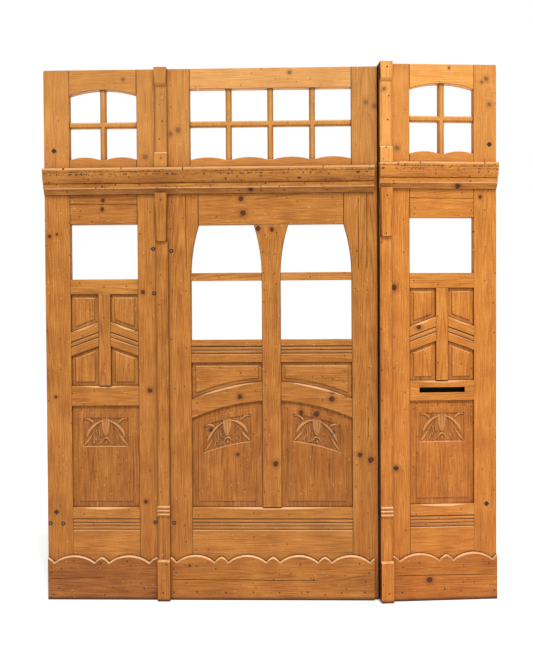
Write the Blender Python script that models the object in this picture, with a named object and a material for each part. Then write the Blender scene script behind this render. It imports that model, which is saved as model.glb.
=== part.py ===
"""Entrance front of waxed pine: a side bay and a centre bay joined by a pilaster, and a second side bay
on its own, which stands beside them, turned a little. Metres, +Z up, the front looks along -Y.

Inside a section x runs to the right, y runs back from the front face of the framing (so what stands
proud has a negative y), and z is the height above the floor. An empty places each section."""
import math
from dataclasses import dataclass

import bmesh
import bpy
from mathutils import Vector
from mathutils.geometry import delaunay_2d_cdt

# Heights of the side bays, from the floor up
BOTTOM_RAIL_TOP = 0.475
TALL_PANEL = 0.527
LOCK_TALL = 0.101
SMALL_PANELS_TALL = 0.472
WINDOW_RAIL = 0.076
WINDOW_TALL = 0.281
TRANSOM_SHOWS = 0.153
FILLET_TALL = 0.018
OVOLO_TALL = 0.058
BAND_TALL = 0.026
BED_TALL = 0.027
SILL_SHOWS = 0.0425
FANLIGHT_TALL = 0.3395
TOP_RAIL_TALL = 0.124
LOCK_TOP = BOTTOM_RAIL_TOP + TALL_PANEL + LOCK_TALL
WINDOW_SILL = LOCK_TOP + SMALL_PANELS_TALL + WINDOW_RAIL
WINDOW_TOP = WINDOW_SILL + WINDOW_TALL
CORNICE_FOOT = WINDOW_TOP + TRANSOM_SHOWS
CORNICE_TOP = CORNICE_FOOT + BED_TALL + BAND_TALL + OVOLO_TALL + FILLET_TALL
SILL_HEIGHT = CORNICE_TOP + SILL_SHOWS
FAN_SPRING = SILL_HEIGHT + FANLIGHT_TALL
HEIGHT = FAN_SPRING + TOP_RAIL_TALL

# Heights of the centre bay, from the door's head down
DOOR_HEAD_DROP = 0.007
FLARE = 0.040
FLARE_BULGE = 0.009
FLARE_TALL = 0.245
WINDOW_BAR = 0.040
LOWER_LIGHT_TALL = 0.303
REEDED_RAIL = 0.115
SMALL_PANEL_LEAST = 0.100
ARCH_RADIUS = 0.982
ARCH_TALL = 0.097
DOOR_HEAD = WINDOW_TOP - DOOR_HEAD_DROP
WINDOW_BAR_TOP = DOOR_HEAD - FLARE_TALL
REEDED_RAIL_TOP = WINDOW_BAR_TOP - WINDOW_BAR - LOWER_LIGHT_TALL
ARCH_CROWN = REEDED_RAIL_TOP - REEDED_RAIL - SMALL_PANEL_LEAST

# Widths of section A, the left and centre bays, from its left edge on
LEFT_STILE = 0.130
LEFT_OPENING = 0.347
INNER_STILE = 0.127
CENTRE_STILES = 0.146
CENTRE_OPENING = 0.822
RIGHT_END_STILE = 0.1315
CENTRE_STILE_WIDTH = 0.097
PILASTER_AXIS = LEFT_STILE + LEFT_OPENING + INNER_STILE
WIDTH_A = PILASTER_AXIS + CENTRE_STILES + CENTRE_OPENING + RIGHT_END_STILE

# Widths of section B, the right bay, and how it stands beside section A
SLOT_SIDE_STILE = 0.157
RIGHT_OPENING = 0.332
RIGHT_STILE = 0.116
WIDTH_B = SLOT_SIDE_STILE + RIGHT_OPENING + RIGHT_STILE
SECTION_GAP = 0.0055
TURN_B_DEG = 5.7
FORWARD_B = 0.023
LIFT_B = 0.021
BOTTOM_LIFT_B = 0.016
CORNICE_LIFT_B = 0.014
TOP_LIFT_B = 0.008

THICK = 0.045
CLEAR = 0.0003

# Fanlights
FAN_RISE = 0.027
CENTRE_SOFFIT_LIFT = 0.020
BAR_ABOVE_SILL = 0.1835
SIDE_BAR_ABOVE_SILL = 0.1775
LEFT_SPRING_DROP = 0.0045
BAR_WIDTH = 0.030
BAR_DEPTH = 0.030
BAR_MOULD = 0.007
SIDE_SILL_LIFT = 0.006
SCALLOP_RISE = 0.013
PANE_COUNT_CENTRE = 4
PANE_COUNT_SIDE = 2

# Cornice: how far each member stands in front of the framing
FILLET_OUT = 0.046
OVOLO_OUT = 0.043
OVOLO_IN = 0.022
BAND_OUT = 0.026
BED_OUT = 0.014
BED_FOOT_OUT = 0.009
QUIRK = 0.0035
BROKEN_FILLET = 0.090
BROKEN_OUT = 0.035
BREAK_SLOPE = 0.006
CORNICE_SHORT = 0.0175

# Rails: the slanted ones with a bead, the reeds, and the chamfers on upper edges
MUNTIN = 0.063
SLANT_ABOVE_LOCK = 0.277
SLANT_SLOPE = 0.365
SLANT_TALL = 0.123
SLANT_BAND = 0.054
SLANT_BEAD = 0.024
REED_DROP = 0.062
REEDED_DROP = 0.036
REED = 0.0175
REED_COUNT = 3
REED_COUNT_CENTRE = 2
GROOVE = 0.0055
CHAMFER = 0.010
CHAMFER_LEAST = 0.0006
CHAMFER_SLOPE = 0.8
CHAMFER_STOP = 0.1

# Panels: depth behind the front face, and margins
PANEL_BACK = 0.030
PANEL_EDGE = 0.012
PANEL_BEVEL = 0.009
PANEL_FIELD = 0.004
PANEL_STEP = 0.003
SMALL_MARGIN = 0.022
TALL_MARGIN = 0.035

# Carving: a sunk frame near the top of each tall panel. Its leaves are shares of the frame's width
# and height from its middle: where each starts, where it ends, and half its width.
CARVING_WIDE = 0.230
CARVING_TALL = 0.145
CARVING_CENTRE_WIDE = 0.243
CARVING_CENTRE_TALL = 0.138
CARVING_BELOW_FIELD = 0.030
CARVING_DEPTH = 0.0045
CARVING_WALL = 0.012
CARVING_COLUMN_COUNT = 22
CARVING_ROW_COUNT = 14
CARVED_LEAVES = (
    ((0.0, -0.20), (0.0, 0.46), 0.050),
    ((0.012, -0.20), (0.10, 0.40), 0.036),
    ((0.0, -0.48), (0.0, -0.20), 0.045),
    ((0.485, 0.47), (0.27, 0.28), 0.050),
    ((0.16, 0.22), (0.34, -0.46), 0.045),
    ((0.11, -0.08), (0.24, -0.46), 0.040),
)
CARVED_STEM = (0.44, 0.80, -0.42, 0.045)

# Letter slot
SLOT_WIDE = 0.235
SLOT_TALL = 0.027
SLOT_BELOW_TOP = 0.034
SLOT_COVER = 0.004
SLOT_COVER_MARGIN = 0.012

# Kick boards: a large arch, then a small pointed peak. Each board has its own first arch and pitch.
KICK_OUT = 0.014
KICK_NOTCH = 0.193
KICK_ARCH = 0.036
KICK_PEAK = 0.028
KICK_PEAK_SHARE = 0.26
KICK_PEAK_BULGE = 0.0035
KICK_NOSE = 0.008
KICK_END_SHORT = 0.0215
KICK_FIRST_LEFT = 0.138
KICK_PITCH_LEFT = 0.2835
KICK_FIRST_CENTRE = 0.765
KICK_PITCH_CENTRE = 0.2655
KICK_LIFT_CENTRE = 0.003
KICK_FIRST_RIGHT = 0.202
KICK_PITCH_RIGHT = 0.277
KICK_LIFT_RIGHT = 0.015

# Pilasters: blocks at the head and the foot, a chamfered shaft, a bracket and a neck of three rings
PILASTER_WIDE = 0.064
SHAFT_WIDE = 0.061
SHAFT_OUT = 0.025
SHAFT_CHAMFER = 0.009
CAP_OUT = 0.042
CAP_TALL = 0.080
CAP_FOOT_OUT = 0.036
CAP_FOOT_WIDE = 0.055
CAP_UNDER = 0.010
UPPER_BASE_TALL = 0.080
UPPER_BASE_OUT = 0.036
BLOCK_SLOPE = 0.008
BRACKET_TALL = 0.243
BRACKET_OUT = 0.046
BRACKET_WIDE = 0.059
BRACKET_FOOT_OUT = 0.036
BRACKET_FOOT_WIDE = 0.044
RING_TOP = 0.488
RING_TALL = 0.057
RING_COUNT = 3
RING_OUT = 0.031
RING_NECK = 0.001
BASE_TALL = 0.211
BASE_OUT = 0.040

WOOD_A = (0.50, 0.24, 0.075)
WOOD_B = (0.62, 0.29, 0.085)
WOOD_DARK = (0.03, 0.02, 0.015)


@dataclass(frozen=True)
class Bay:
    """A bay: its section, where it and its opening start and end, and how far it is built higher."""

    name: str
    section: bpy.types.Object
    colour: tuple
    left: float
    opening: float
    opening_wide: float
    right: float
    lift: float = 0.0
    bottom_lift: float = 0.0
    cornice_lift: float = 0.0
    spring_lift: float = 0.0
    top_lift: float = 0.0

    @property
    def opening_end(self):
        return self.opening + self.opening_wide

    @property
    def axis(self):
        return self.opening + self.opening_wide / 2


def clear_scene():
    for thing in list(bpy.data.objects):
        bpy.data.objects.remove(thing)


def wood(name, colour):
    """Waxed pine, as a plain Principled BSDF."""
    made = bpy.data.materials.new(name)
    made.use_nodes = True
    shader = made.node_tree.nodes["Principled BSDF"]
    shader.inputs["Base Color"].default_value = (*colour, 1.0)
    shader.inputs["Roughness"].default_value = 0.45
    shader.inputs["Metallic"].default_value = 0.0
    made.diffuse_color = (*colour, 1.0)
    return made


def place(name, shape, bay, colour=None):
    """Turns a bmesh into a named object on its section, with a material of its own."""
    bmesh.ops.recalc_face_normals(shape, faces=shape.faces)
    mesh = bpy.data.meshes.new(name)
    shape.to_mesh(mesh)
    shape.free()
    mesh.materials.append(wood(name, colour or bay.colour))
    thing = bpy.data.objects.new(name, mesh)
    thing.parent = bay.section
    bpy.context.collection.objects.link(thing)
    return thing


def cap(shape, loop):
    """A flat end over a loop of corners, cut into triangles none of which is a mere line."""
    spans = [max(corner.co[i] for corner in loop) - min(corner.co[i] for corner in loop) for i in range(3)]
    across_axis, up_axis = sorted(range(3), key=lambda i: spans[i])[1:]
    flat = [Vector((corner.co[across_axis], corner.co[up_axis])) for corner in loop]
    area = sum(flat[i - 1].cross(flat[i]) for i in range(len(flat)))
    order = list(range(len(flat)))
    if area < 0:
        order.reverse()
    _, _, triangles, came_from, _, _ = delaunay_2d_cdt(flat, [], [order], 1, 1e-7)
    for triangle in triangles:
        shape.faces.new([loop[came_from[i][0]] for i in triangle])


def skin(shape, rings, cap_first=True, cap_last=True):
    """Walls between rings of equally many points, and a flat face on each end that is capped."""
    loops = [[shape.verts.new(point) for point in ring] for ring in rings]
    for near, far in zip(loops, loops[1:]):
        for i, corner in enumerate(near):
            after = (i + 1) % len(near)
            shape.faces.new((corner, near[after], far[after], far[i]))
    if cap_first:
        cap(shape, loops[0])
    if cap_last:
        cap(shape, loops[-1])
    return loops


def solid(name, rings, bay, colour=None):
    shape = bmesh.new()
    skin(shape, rings)
    return place(name, shape, bay, colour)


def at_depth(outline, y):
    return [(x, y, z) for x, z in outline]


def board(name, outline, bay, front=0.0, back=THICK, colour=None):
    """A board cut to an outline in the plane of the wall."""
    return solid(name, [at_depth(outline, front), at_depth(outline, back)], bay, colour)


def box_outline(x0, x1, z0, z1):
    return [(x0, z0), (x1, z0), (x1, z1), (x0, z1)]


def inset(outline, distance):
    """The outline moved inwards, each corner along its two edges. Corners run anticlockwise."""
    moved = []
    count = len(outline)
    for i in range(count):
        (ax, az), (bx, bz), (cx, cz) = outline[i - 1], outline[i], outline[(i + 1) % count]
        ux, uz = bx - ax, bz - az
        vx, vz = cx - bx, cz - bz
        long_u, long_v = math.hypot(ux, uz), math.hypot(vx, vz)
        nx, nz = -uz / long_u - vz / long_v, ux / long_u + vx / long_v
        scale = 2 * distance / (nx * nx + nz * nz)
        moved.append((bx + nx * scale, bz + nz * scale))
    return moved


def arc(x0, z0, x1, z1, rise, steps):
    """Points of a circular arc from one end to the other, bulging left of the way it runs."""
    half = math.hypot(x1 - x0, z1 - z0) / 2
    radius = (half * half + rise * rise) / (2 * rise)
    sweep = math.asin(half / abs(radius))
    along_x, along_z = (x1 - x0) / (2 * half), (z1 - z0) / (2 * half)
    points = []
    for i in range(steps + 1):
        angle = sweep * (2 * i / steps - 1)
        along = abs(radius) * math.sin(angle)
        out = math.copysign(abs(radius) * math.cos(angle) - abs(radius) + abs(rise), rise)
        points.append((
            (x0 + x1) / 2 + along_x * along - along_z * out,
            (z0 + z1) / 2 + along_z * along + along_x * out,
        ))
    return points


def stop_chamfer(share):
    """The width of a chamfer that starts and stops short of the ends of its rail."""
    along = (share - CHAMFER_STOP) / (1 - 2 * CHAMFER_STOP)
    return CHAMFER_LEAST + CHAMFER * max(0.0, math.sin(math.pi * along))


def plain_section(tall, chamfer, back=THICK):
    """A rail's section from its top at z = 0, with the chamfer on its upper front edge."""
    return [(back, -tall), (0.0, -tall), (0.0, -chamfer), (chamfer * CHAMFER_SLOPE, 0.0), (back, 0.0)]


def reeds_down(start, count, wide):
    """The front of a row of reeds, from the top one's upper groove down."""
    points = []
    for i in range(count):
        top = start - i * wide
        for j in range(4):
            angle = math.pi * j / 4
            points.append((GROOVE * (1 - math.sin(angle)), top - wide * (1 - math.cos(angle)) / 2))
    points.append((GROOVE, start - count * wide))
    return points


def reeded_section(tall, chamfer, start, count, wide):
    """A rail's section with reeds let into its face, the first groove at start."""
    face = [(0.0, -chamfer), (0.0, start + GROOVE)]
    face += reeds_down(start, count, wide)
    face += [(0.0, start - count * wide - GROOVE), (0.0, -tall)]
    return [(THICK, -tall), *reversed(face), (chamfer * CHAMFER_SLOPE, 0.0), (THICK, 0.0)]


def rail(name, x0, x1, top, section, bay, steps=8):
    """A rail from x0 to x1. top(x) is its upper edge, section(share) its shape below that edge."""
    rings = []
    for i in range(steps + 1):
        share = i / steps
        x = x0 + (x1 - x0) * share
        rings.append([(x, y, top(x) + z) for y, z in section(share)])
    return solid(name, rings, bay)


def level(height):
    return lambda x: height


def pane_edges(x0, x1, panes):
    """Where each pane of a fanlight starts and ends. All panes are equally wide, with a bar between."""
    wide = (x1 - x0 - BAR_WIDTH * (panes - 1)) / panes
    starts = [x0 + (wide + BAR_WIDTH) * i for i in range(panes)]
    return [(start, start + wide) for start in starts]


def scallops(x0, x1, height, panes):
    """The top edge of a fanlight's sill, right to left: a scallop under each pane, flat under a bar."""
    points = []
    for start, end in reversed(pane_edges(x0, x1, panes)):
        points += arc(start, height, end, height, SCALLOP_RISE, 6)[::-1]
    return points


def height_on(edge, x):
    """The height of an edge, given left to right, at a place along it."""
    for (ax, az), (bx, bz) in zip(edge, edge[1:]):
        if ax <= x <= bx:
            return az + (bz - az) * (x - ax) / (bx - ax)
    return edge[-1][1]


def glazing_bars(name, x0, x1, sill, middle, soffit, panes, bay):
    """A fanlight's bars, halved together and glued: one piece. Their front edges are moulded."""
    half = BAR_WIDTH / 2
    z0, z1 = middle - half, middle + half
    axes = [end + half for _, end in pane_edges(x0, x1, panes)[:-1]]
    foot = sill + CLEAR
    outline = []
    for axis in axes:
        outline += [(axis - half, z0), (axis - half, foot), (axis + half, foot), (axis + half, z0)]
    outline += [(x1 - CLEAR, z0), (x1 - CLEAR, z1)]
    for axis in reversed(axes):
        head = height_on(soffit, axis + half) - CLEAR
        outline += [(axis + half, z1), (axis + half, head), (axis - half, head), (axis - half, z1)]
    outline += [(x0 + CLEAR, z1), (x0 + CLEAR, z0)]
    front = (THICK - BAR_DEPTH) / 2
    rings = [
        at_depth(outline, front + BAR_DEPTH),
        at_depth(outline, front + BAR_MOULD),
        at_depth(narrowed(outline, axes, middle), front),
    ]
    return solid(name, rings, bay)


def narrowed(outline, axes, middle):
    """The bars' outline drawn in across each bar, with their ends left where they are."""
    low, high = min(z for _, z in outline), max(z for _, z in outline)
    left, right = min(x for x, _ in outline), max(x for x, _ in outline)
    moved = []
    for x, z in outline:
        axis = min(axes, key=lambda place_x: abs(place_x - x))
        if x not in (left, right):
            x += math.copysign(BAR_MOULD, axis - x)
        if z not in (low, high):
            z += math.copysign(BAR_MOULD, middle - z)
        moved.append((x, z))
    return moved


def cornice_section(foot, fillet_out):
    """The cornice from its foot up: bed mould, band, ovolo and fillet, against the framing's face."""
    bed_top = foot + BED_TALL
    band_top = bed_top + BAND_TALL
    ovolo_top = band_top + OVOLO_TALL
    top = ovolo_top + FILLET_TALL
    points = [(-CLEAR, foot), (-BED_FOOT_OUT, foot), (-BED_OUT, bed_top - QUIRK), (-BAND_OUT, bed_top)]
    points.append((-BAND_OUT, band_top - QUIRK))
    for i in range(6):
        angle = math.pi / 2 * i / 5
        out = OVOLO_IN + (OVOLO_OUT - OVOLO_IN) * math.sin(angle)
        points.append((-out, band_top + (OVOLO_TALL - QUIRK) * (1 - math.cos(angle))))
    points += [(-fillet_out, ovolo_top), (-fillet_out, top), (-CLEAR, top)]
    return points


def cornice(name, x0, x1, foot, bay, broken=0.0):
    """A run of cornice, planted on. Along the first stretch its fillet may be broken off."""
    whole = cornice_section(foot, FILLET_OUT)
    stations = [(x0, whole), (x1, whole)]
    if broken:
        worn = cornice_section(foot, BROKEN_OUT)
        stations = [(x0, worn), (x0 + broken, worn), (x0 + broken + BREAK_SLOPE, whole), (x1, whole)]
    return solid(name, [[(x, y, z) for y, z in section] for x, section in stations], bay)


def kick_edge(x0, x1, first, pitch):
    """The kick board's top edge, left to right: large arches with a small peak between them."""
    peak = pitch * KICK_PEAK_SHARE
    span = pitch - peak
    points = []
    centre = first - pitch
    while centre - span / 2 < x1:
        start, end = centre - span / 2, centre + span / 2
        points += arc(start, KICK_NOTCH, end, KICK_NOTCH, KICK_ARCH, 8)
        crown = (end + peak / 2, KICK_NOTCH + KICK_PEAK)
        points += arc(end, KICK_NOTCH, *crown, KICK_PEAK_BULGE, 3)[1:]
        points += arc(*crown, end + peak, KICK_NOTCH, KICK_PEAK_BULGE, 3)[1:-1]
        centre += pitch
    return cut_between(points, x0, x1)


def cut_between(points, x0, x1):
    """The part of an edge between x0 and x1, with a point set on each end."""
    kept = []
    for (ax, az), (bx, bz) in zip(points, points[1:]):
        for x in (x0, x1):
            if ax < x <= bx:
                kept.append((x, az + (bz - az) * (x - ax) / (bx - ax)))
        if x0 < bx < x1:
            kept.append((bx, bz))
    return sorted(kept)


def kick_board(name, x0, x1, first, pitch, lift, bay):
    """A kick board, planted on. Its shaped edge is taken off in front."""
    edge = [(x, z + lift) for x, z in reversed(kick_edge(x0, x1, first, pitch))]
    foot = [(x0, 0.0), (x1, 0.0)]
    outline = [*foot, *edge]
    front = [*foot, *((x, z - KICK_NOSE) for x, z in edge)]
    rings = [
        at_depth(outline, -CLEAR),
        at_depth(outline, -KICK_OUT + KICK_NOSE * CHAMFER_SLOPE),
        at_depth(front, -KICK_OUT),
    ]
    return solid(name, rings, bay)


def panel_rings(outline, margin):
    """A fielded panel's rings, from its back edge to the edge of its raised field."""
    held = inset(outline, CLEAR)
    return [
        at_depth(held, PANEL_BACK),
        at_depth(held, PANEL_EDGE),
        at_depth(inset(outline, margin - PANEL_STEP), PANEL_BEVEL),
        at_depth(inset(outline, margin), PANEL_FIELD),
    ]


def fielded_panel(name, outline, margin, bay):
    return solid(name, panel_rings(outline, margin), bay)


def leaf_height(x, z, start, end, half):
    """How high a leaf or a stem between two points stands here: 1 along its middle, 0 off it."""
    ax, az = start
    along_x, along_z = end[0] - ax, end[1] - az
    share = ((x - ax) * along_x + (z - az) * along_z) / (along_x ** 2 + along_z ** 2)
    if not 0.0 < share < 1.0:
        return 0.0
    off = abs((x - ax) * along_z - (z - az) * along_x) / math.hypot(along_x, along_z)
    wide = half * math.sin(math.pi * share) ** 0.7
    return max(0.0, 1.0 - (off / wide) ** 2)


def stem_height(x, z):
    """Two bent stems that rise from the lower corners and meet at the top, as one half ellipse."""
    reach, tall, foot, half = CARVED_STEM
    angle = math.atan2(max(z - foot, 0.0) / tall, x / reach)
    off_x = x - reach * math.cos(angle)
    off_z = (z - foot - tall * math.sin(angle)) * CARVING_TALL / CARVING_WIDE
    return max(0.0, 1.0 - (math.hypot(off_x, off_z) / half) ** 2)


def carving_height(u, v):
    """The ornament over its sunk ground, 0 to 1: u and v run from 0 to 1 across and up the frame.

    The two sides mirror each other, so the leaves are given for one side only."""
    x, z = abs(u - 0.5), v - 0.5
    return max(stem_height(x, z), *(leaf_height(x, z, *leaf) for leaf in CARVED_LEAVES))


def carved_panel(name, outline, margin, frame_wide, frame_tall, frame_top, middle, bay):
    """A fielded panel with a carved frame. frame_top(x) is the frame's upper edge."""
    shape = bmesh.new()
    rim = skin(shape, panel_rings(outline, margin), cap_last=False)[-1]
    columns = (i / CARVING_COLUMN_COUNT for i in range(1, CARVING_COLUMN_COUNT))
    rows = (i / CARVING_ROW_COUNT for i in range(1, CARVING_ROW_COUNT))
    cuts_u = [0.0, CARVING_WALL, *columns, 1.0 - CARVING_WALL, 1.0]
    wall_v = CARVING_WALL * frame_wide / frame_tall
    cuts_v = [0.0, wall_v, *rows, 1.0 - wall_v, 1.0]
    grid = []
    for v in cuts_v:
        row = []
        for u in cuts_u:
            x = middle + frame_wide * (u - 0.5)
            inside = 0.0 < u < 1.0 and 0.0 < v < 1.0
            sunk = CARVING_DEPTH * (1.0 - carving_height(u, v)) if inside else 0.0
            row.append(shape.verts.new((x, PANEL_FIELD + sunk, frame_top(x) - frame_tall * (1.0 - v))))
        grid.append(row)
    for low, high in zip(grid, grid[1:]):
        for i in range(len(low) - 1):
            shape.faces.new((low[i], low[i + 1], high[i + 1], high[i]))
    edge = [*grid[0], *(row[-1] for row in grid[1:]), *reversed(grid[-1][:-1])]
    edge += [row[0] for row in reversed(grid[1:-1])]
    borders = []
    for loop in (rim, edge):
        for i, corner in enumerate(loop):
            after = loop[(i + 1) % len(loop)]
            borders.append(shape.edges.get((corner, after)) or shape.edges.new((corner, after)))
    bmesh.ops.triangle_fill(shape, edges=borders, use_beauty=True)
    return place(name, shape, bay)


def side_frame(bay):
    """Stiles, the arched top rail, the fanlight's bars and the board below it."""
    x0, x1 = bay.opening + CLEAR, bay.opening_end - CLEAR
    sill = SILL_HEIGHT + SIDE_SILL_LIFT + bay.cornice_lift
    spring = FAN_SPRING + bay.spring_lift
    top = HEIGHT + bay.top_lift
    board(f"{bay.name}_outer_stile", box_outline(bay.left, bay.opening, 0.0, top), bay)
    board(f"{bay.name}_inner_stile", box_outline(bay.opening_end, bay.right, 0.0, top), bay)
    head = arc(x0, spring, x1, spring, FAN_RISE, 10)
    board(f"{bay.name}_top_rail", [*head, (x1, top), (x0, top)], bay)
    glazing_bars(f"{bay.name}_fanlight_bars", x0, x1, sill, sill + SIDE_BAR_ABOVE_SILL, head,
                 PANE_COUNT_SIDE, bay)
    top = scallops(x0, x1, sill, PANE_COUNT_SIDE)
    window_top = WINDOW_TOP + bay.lift
    board(f"{bay.name}_transom_board", [(x0, window_top), (x1, window_top), *top], bay)


def slant_section(share):
    """A slanted rail: a flat band, a bead between two grooves, and a second flat band."""
    return reeded_section(SLANT_TALL, stop_chamfer(share), -SLANT_BAND, 1, SLANT_BEAD)


def side_rails(bay):
    """The window's rail, the muntin and the two slanted rails that rise to it."""
    x0, x1 = bay.opening + CLEAR, bay.opening_end - CLEAR
    sill = WINDOW_SILL + bay.lift
    lock_top = LOCK_TOP + bay.lift
    rail(f"{bay.name}_window_rail", x0, x1, level(sill),
         lambda share: plain_section(WINDOW_RAIL, CHAMFER_LEAST), bay, steps=1)
    half = MUNTIN / 2
    foot, head = lock_top + CLEAR, sill - WINDOW_RAIL - CLEAR
    board(f"{bay.name}_muntin", box_outline(bay.axis - half, bay.axis + half, foot, head), bay)
    for side, start, end in (("left", x0, bay.axis - half - CLEAR), ("right", bay.axis + half + CLEAR, x1)):
        rail(f"{bay.name}_{side}_slanted_rail", start, end, slant_top(bay), slant_section, bay)


def slant_top(bay):
    """The slanted rails' upper edge, highest at the muntin."""
    reach = bay.opening_wide / 2
    low = LOCK_TOP + SLANT_ABOVE_LOCK + bay.lift
    return lambda x: low + SLANT_SLOPE * (reach - abs(x - bay.axis))


def side_small_panels(bay):
    """Four fielded panels, above and below the slanted rails."""
    upper = WINDOW_SILL + bay.lift - WINDOW_RAIL
    lower = LOCK_TOP + bay.lift
    edge = slant_top(bay)
    half = MUNTIN / 2
    sides = (("left", bay.opening, bay.axis - half), ("right", bay.axis + half, bay.opening_end))
    for side, x0, x1 in sides:
        over = [(x0, edge(x0)), (x1, edge(x1)), (x1, upper), (x0, upper)]
        under = [(x0, lower), (x1, lower), (x1, edge(x1) - SLANT_TALL), (x0, edge(x0) - SLANT_TALL)]
        fielded_panel(f"{bay.name}_{side}_upper_panel", over, SMALL_MARGIN, bay)
        fielded_panel(f"{bay.name}_{side}_lower_panel", under, SMALL_MARGIN, bay)


def lock_section(share):
    return plain_section(LOCK_TALL, stop_chamfer(share))


def lock_rail(bay):
    return rail(f"{bay.name}_lock_rail", bay.opening + CLEAR, bay.opening_end - CLEAR,
                level(LOCK_TOP + bay.lift), lock_section, bay)


def cut_letter_slot(lock, bay):
    """The letter slot, cut through the lock rail, with a cover fixed behind it."""
    middle = LOCK_TOP + bay.lift - SLOT_BELOW_TOP - SLOT_TALL / 2
    half_wide, half_tall = SLOT_WIDE / 2, SLOT_TALL / 2
    hole = box_outline(bay.axis - half_wide, bay.axis + half_wide, middle - half_tall, middle + half_tall)
    cutter = board(f"{bay.name}_slot_cutter", hole, bay, front=-THICK, back=2 * THICK)
    cutter.hide_render = True
    cutter.display_type = "WIRE"
    cut = lock.modifiers.new("letter slot", "BOOLEAN")
    cut.operation = "DIFFERENCE"
    cut.object = cutter
    margin = SLOT_COVER_MARGIN
    cover = box_outline(bay.axis - half_wide - margin, bay.axis + half_wide + margin,
                        middle - half_tall - margin, middle + half_tall + margin)
    behind = THICK + CLEAR
    board(f"{bay.name}_slot_cover", cover, bay, behind, behind + SLOT_COVER, WOOD_DARK)


def side_carved_panel(bay):
    top = LOCK_TOP + bay.lift - LOCK_TALL
    bottom = BOTTOM_RAIL_TOP + bay.bottom_lift
    outline = box_outline(bay.opening, bay.opening_end, bottom, top)
    frame_top = level(top - TALL_MARGIN - CARVING_BELOW_FIELD)
    carved_panel(f"{bay.name}_carved_panel", outline, TALL_MARGIN, CARVING_WIDE, CARVING_TALL,
                 frame_top, bay.axis, bay)


def bottom_rail(name, x0, x1, bay):
    """The bottom rail stands on the floor, and its lower part is behind the kick board."""
    tall = BOTTOM_RAIL_TOP + bay.bottom_lift

    def section(share):
        return reeded_section(tall, stop_chamfer(share), -REED_DROP, REED_COUNT, REED)

    return rail(name, x0 + CLEAR, x1 - CLEAR, level(tall), section, bay)


def side_bay(bay):
    side_frame(bay)
    side_rails(bay)
    side_small_panels(bay)
    side_carved_panel(bay)
    bottom_rail(f"{bay.name}_bottom_rail", bay.opening, bay.opening_end, bay)
    return lock_rail(bay)


def flare(x, way, foot, head):
    """The curve by which a centre stile widens under the window head, from the foot upwards."""
    return arc(x, foot, x + way * FLARE, head, way * FLARE_BULGE, 6)


def centre_frame(bay):
    """The centre bay's shaped stiles, its top rail, its fanlight and the board below it."""
    x0, x1 = bay.opening, bay.opening_end
    foot = DOOR_HEAD - FLARE_TALL
    shoulder = (CORNICE_FOOT + CORNICE_TOP) / 2
    inner_left = flare(x0, 1, foot, DOOR_HEAD)
    left = [(bay.left, 0.0), (x0, 0.0), *inner_left, (x0 + FLARE, shoulder), (x0, shoulder)]
    board("centre_left_stile", [*left, (x0, HEIGHT), (bay.left, HEIGHT)], bay)
    inner_right = flare(x1, -1, foot, DOOR_HEAD)
    right = [(bay.right, 0.0), (bay.right, HEIGHT), (x1, HEIGHT), (x1, shoulder), (x1 - FLARE, shoulder)]
    board("centre_right_stile", [*right, *reversed(inner_right), (x1, 0.0)], bay)
    x0, x1 = x0 + CLEAR, x1 - CLEAR
    head = FAN_SPRING + CENTRE_SOFFIT_LIFT
    board("centre_top_rail", box_outline(x0, x1, head, HEIGHT), bay)
    soffit = [(x0, head), (x1, head)]
    glazing_bars("centre_fanlight_bars", x0, x1, SILL_HEIGHT, SILL_HEIGHT + BAR_ABOVE_SILL, soffit,
                 PANE_COUNT_CENTRE, bay)
    top = scallops(x0, x1, SILL_HEIGHT, PANE_COUNT_CENTRE)
    step = shoulder + CLEAR
    lower = [(x0 + FLARE, DOOR_HEAD), (x1 - FLARE, DOOR_HEAD), (x1 - FLARE, step), (x1, step)]
    board("centre_transom_board", [*lower, *top, (x0, step), (x0 + FLARE, step)], bay)


def centre_stile(bay):
    """The stile between the two tall windows, which flares to both sides under the head."""
    half = CENTRE_STILE_WIDTH / 2
    foot = DOOR_HEAD - FLARE_TALL
    head = DOOR_HEAD - CLEAR
    right = flare(bay.axis + half, 1, foot, head)
    left = flare(bay.axis - half, -1, foot, head)
    base = BOTTOM_RAIL_TOP + CLEAR
    outline = [(bay.axis - half, base), (bay.axis + half, base), *right, *reversed(left)]
    return board("centre_middle_stile", outline, bay)


def arch_top(bay):
    """The upper edge of the arched rails: one arc over the whole bay, highest at the middle stile."""
    def edge(x):
        return ARCH_CROWN - ARCH_RADIUS + math.sqrt(ARCH_RADIUS ** 2 - (x - bay.axis) ** 2)
    return edge


def lowered(edge, drop):
    """The same edge, lower down."""
    return lambda x: edge(x) - drop


def follow(edge, x0, x1, steps=8):
    return [(x0 + (x1 - x0) * i / steps, edge(x0 + (x1 - x0) * i / steps)) for i in range(steps + 1)]


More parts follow.
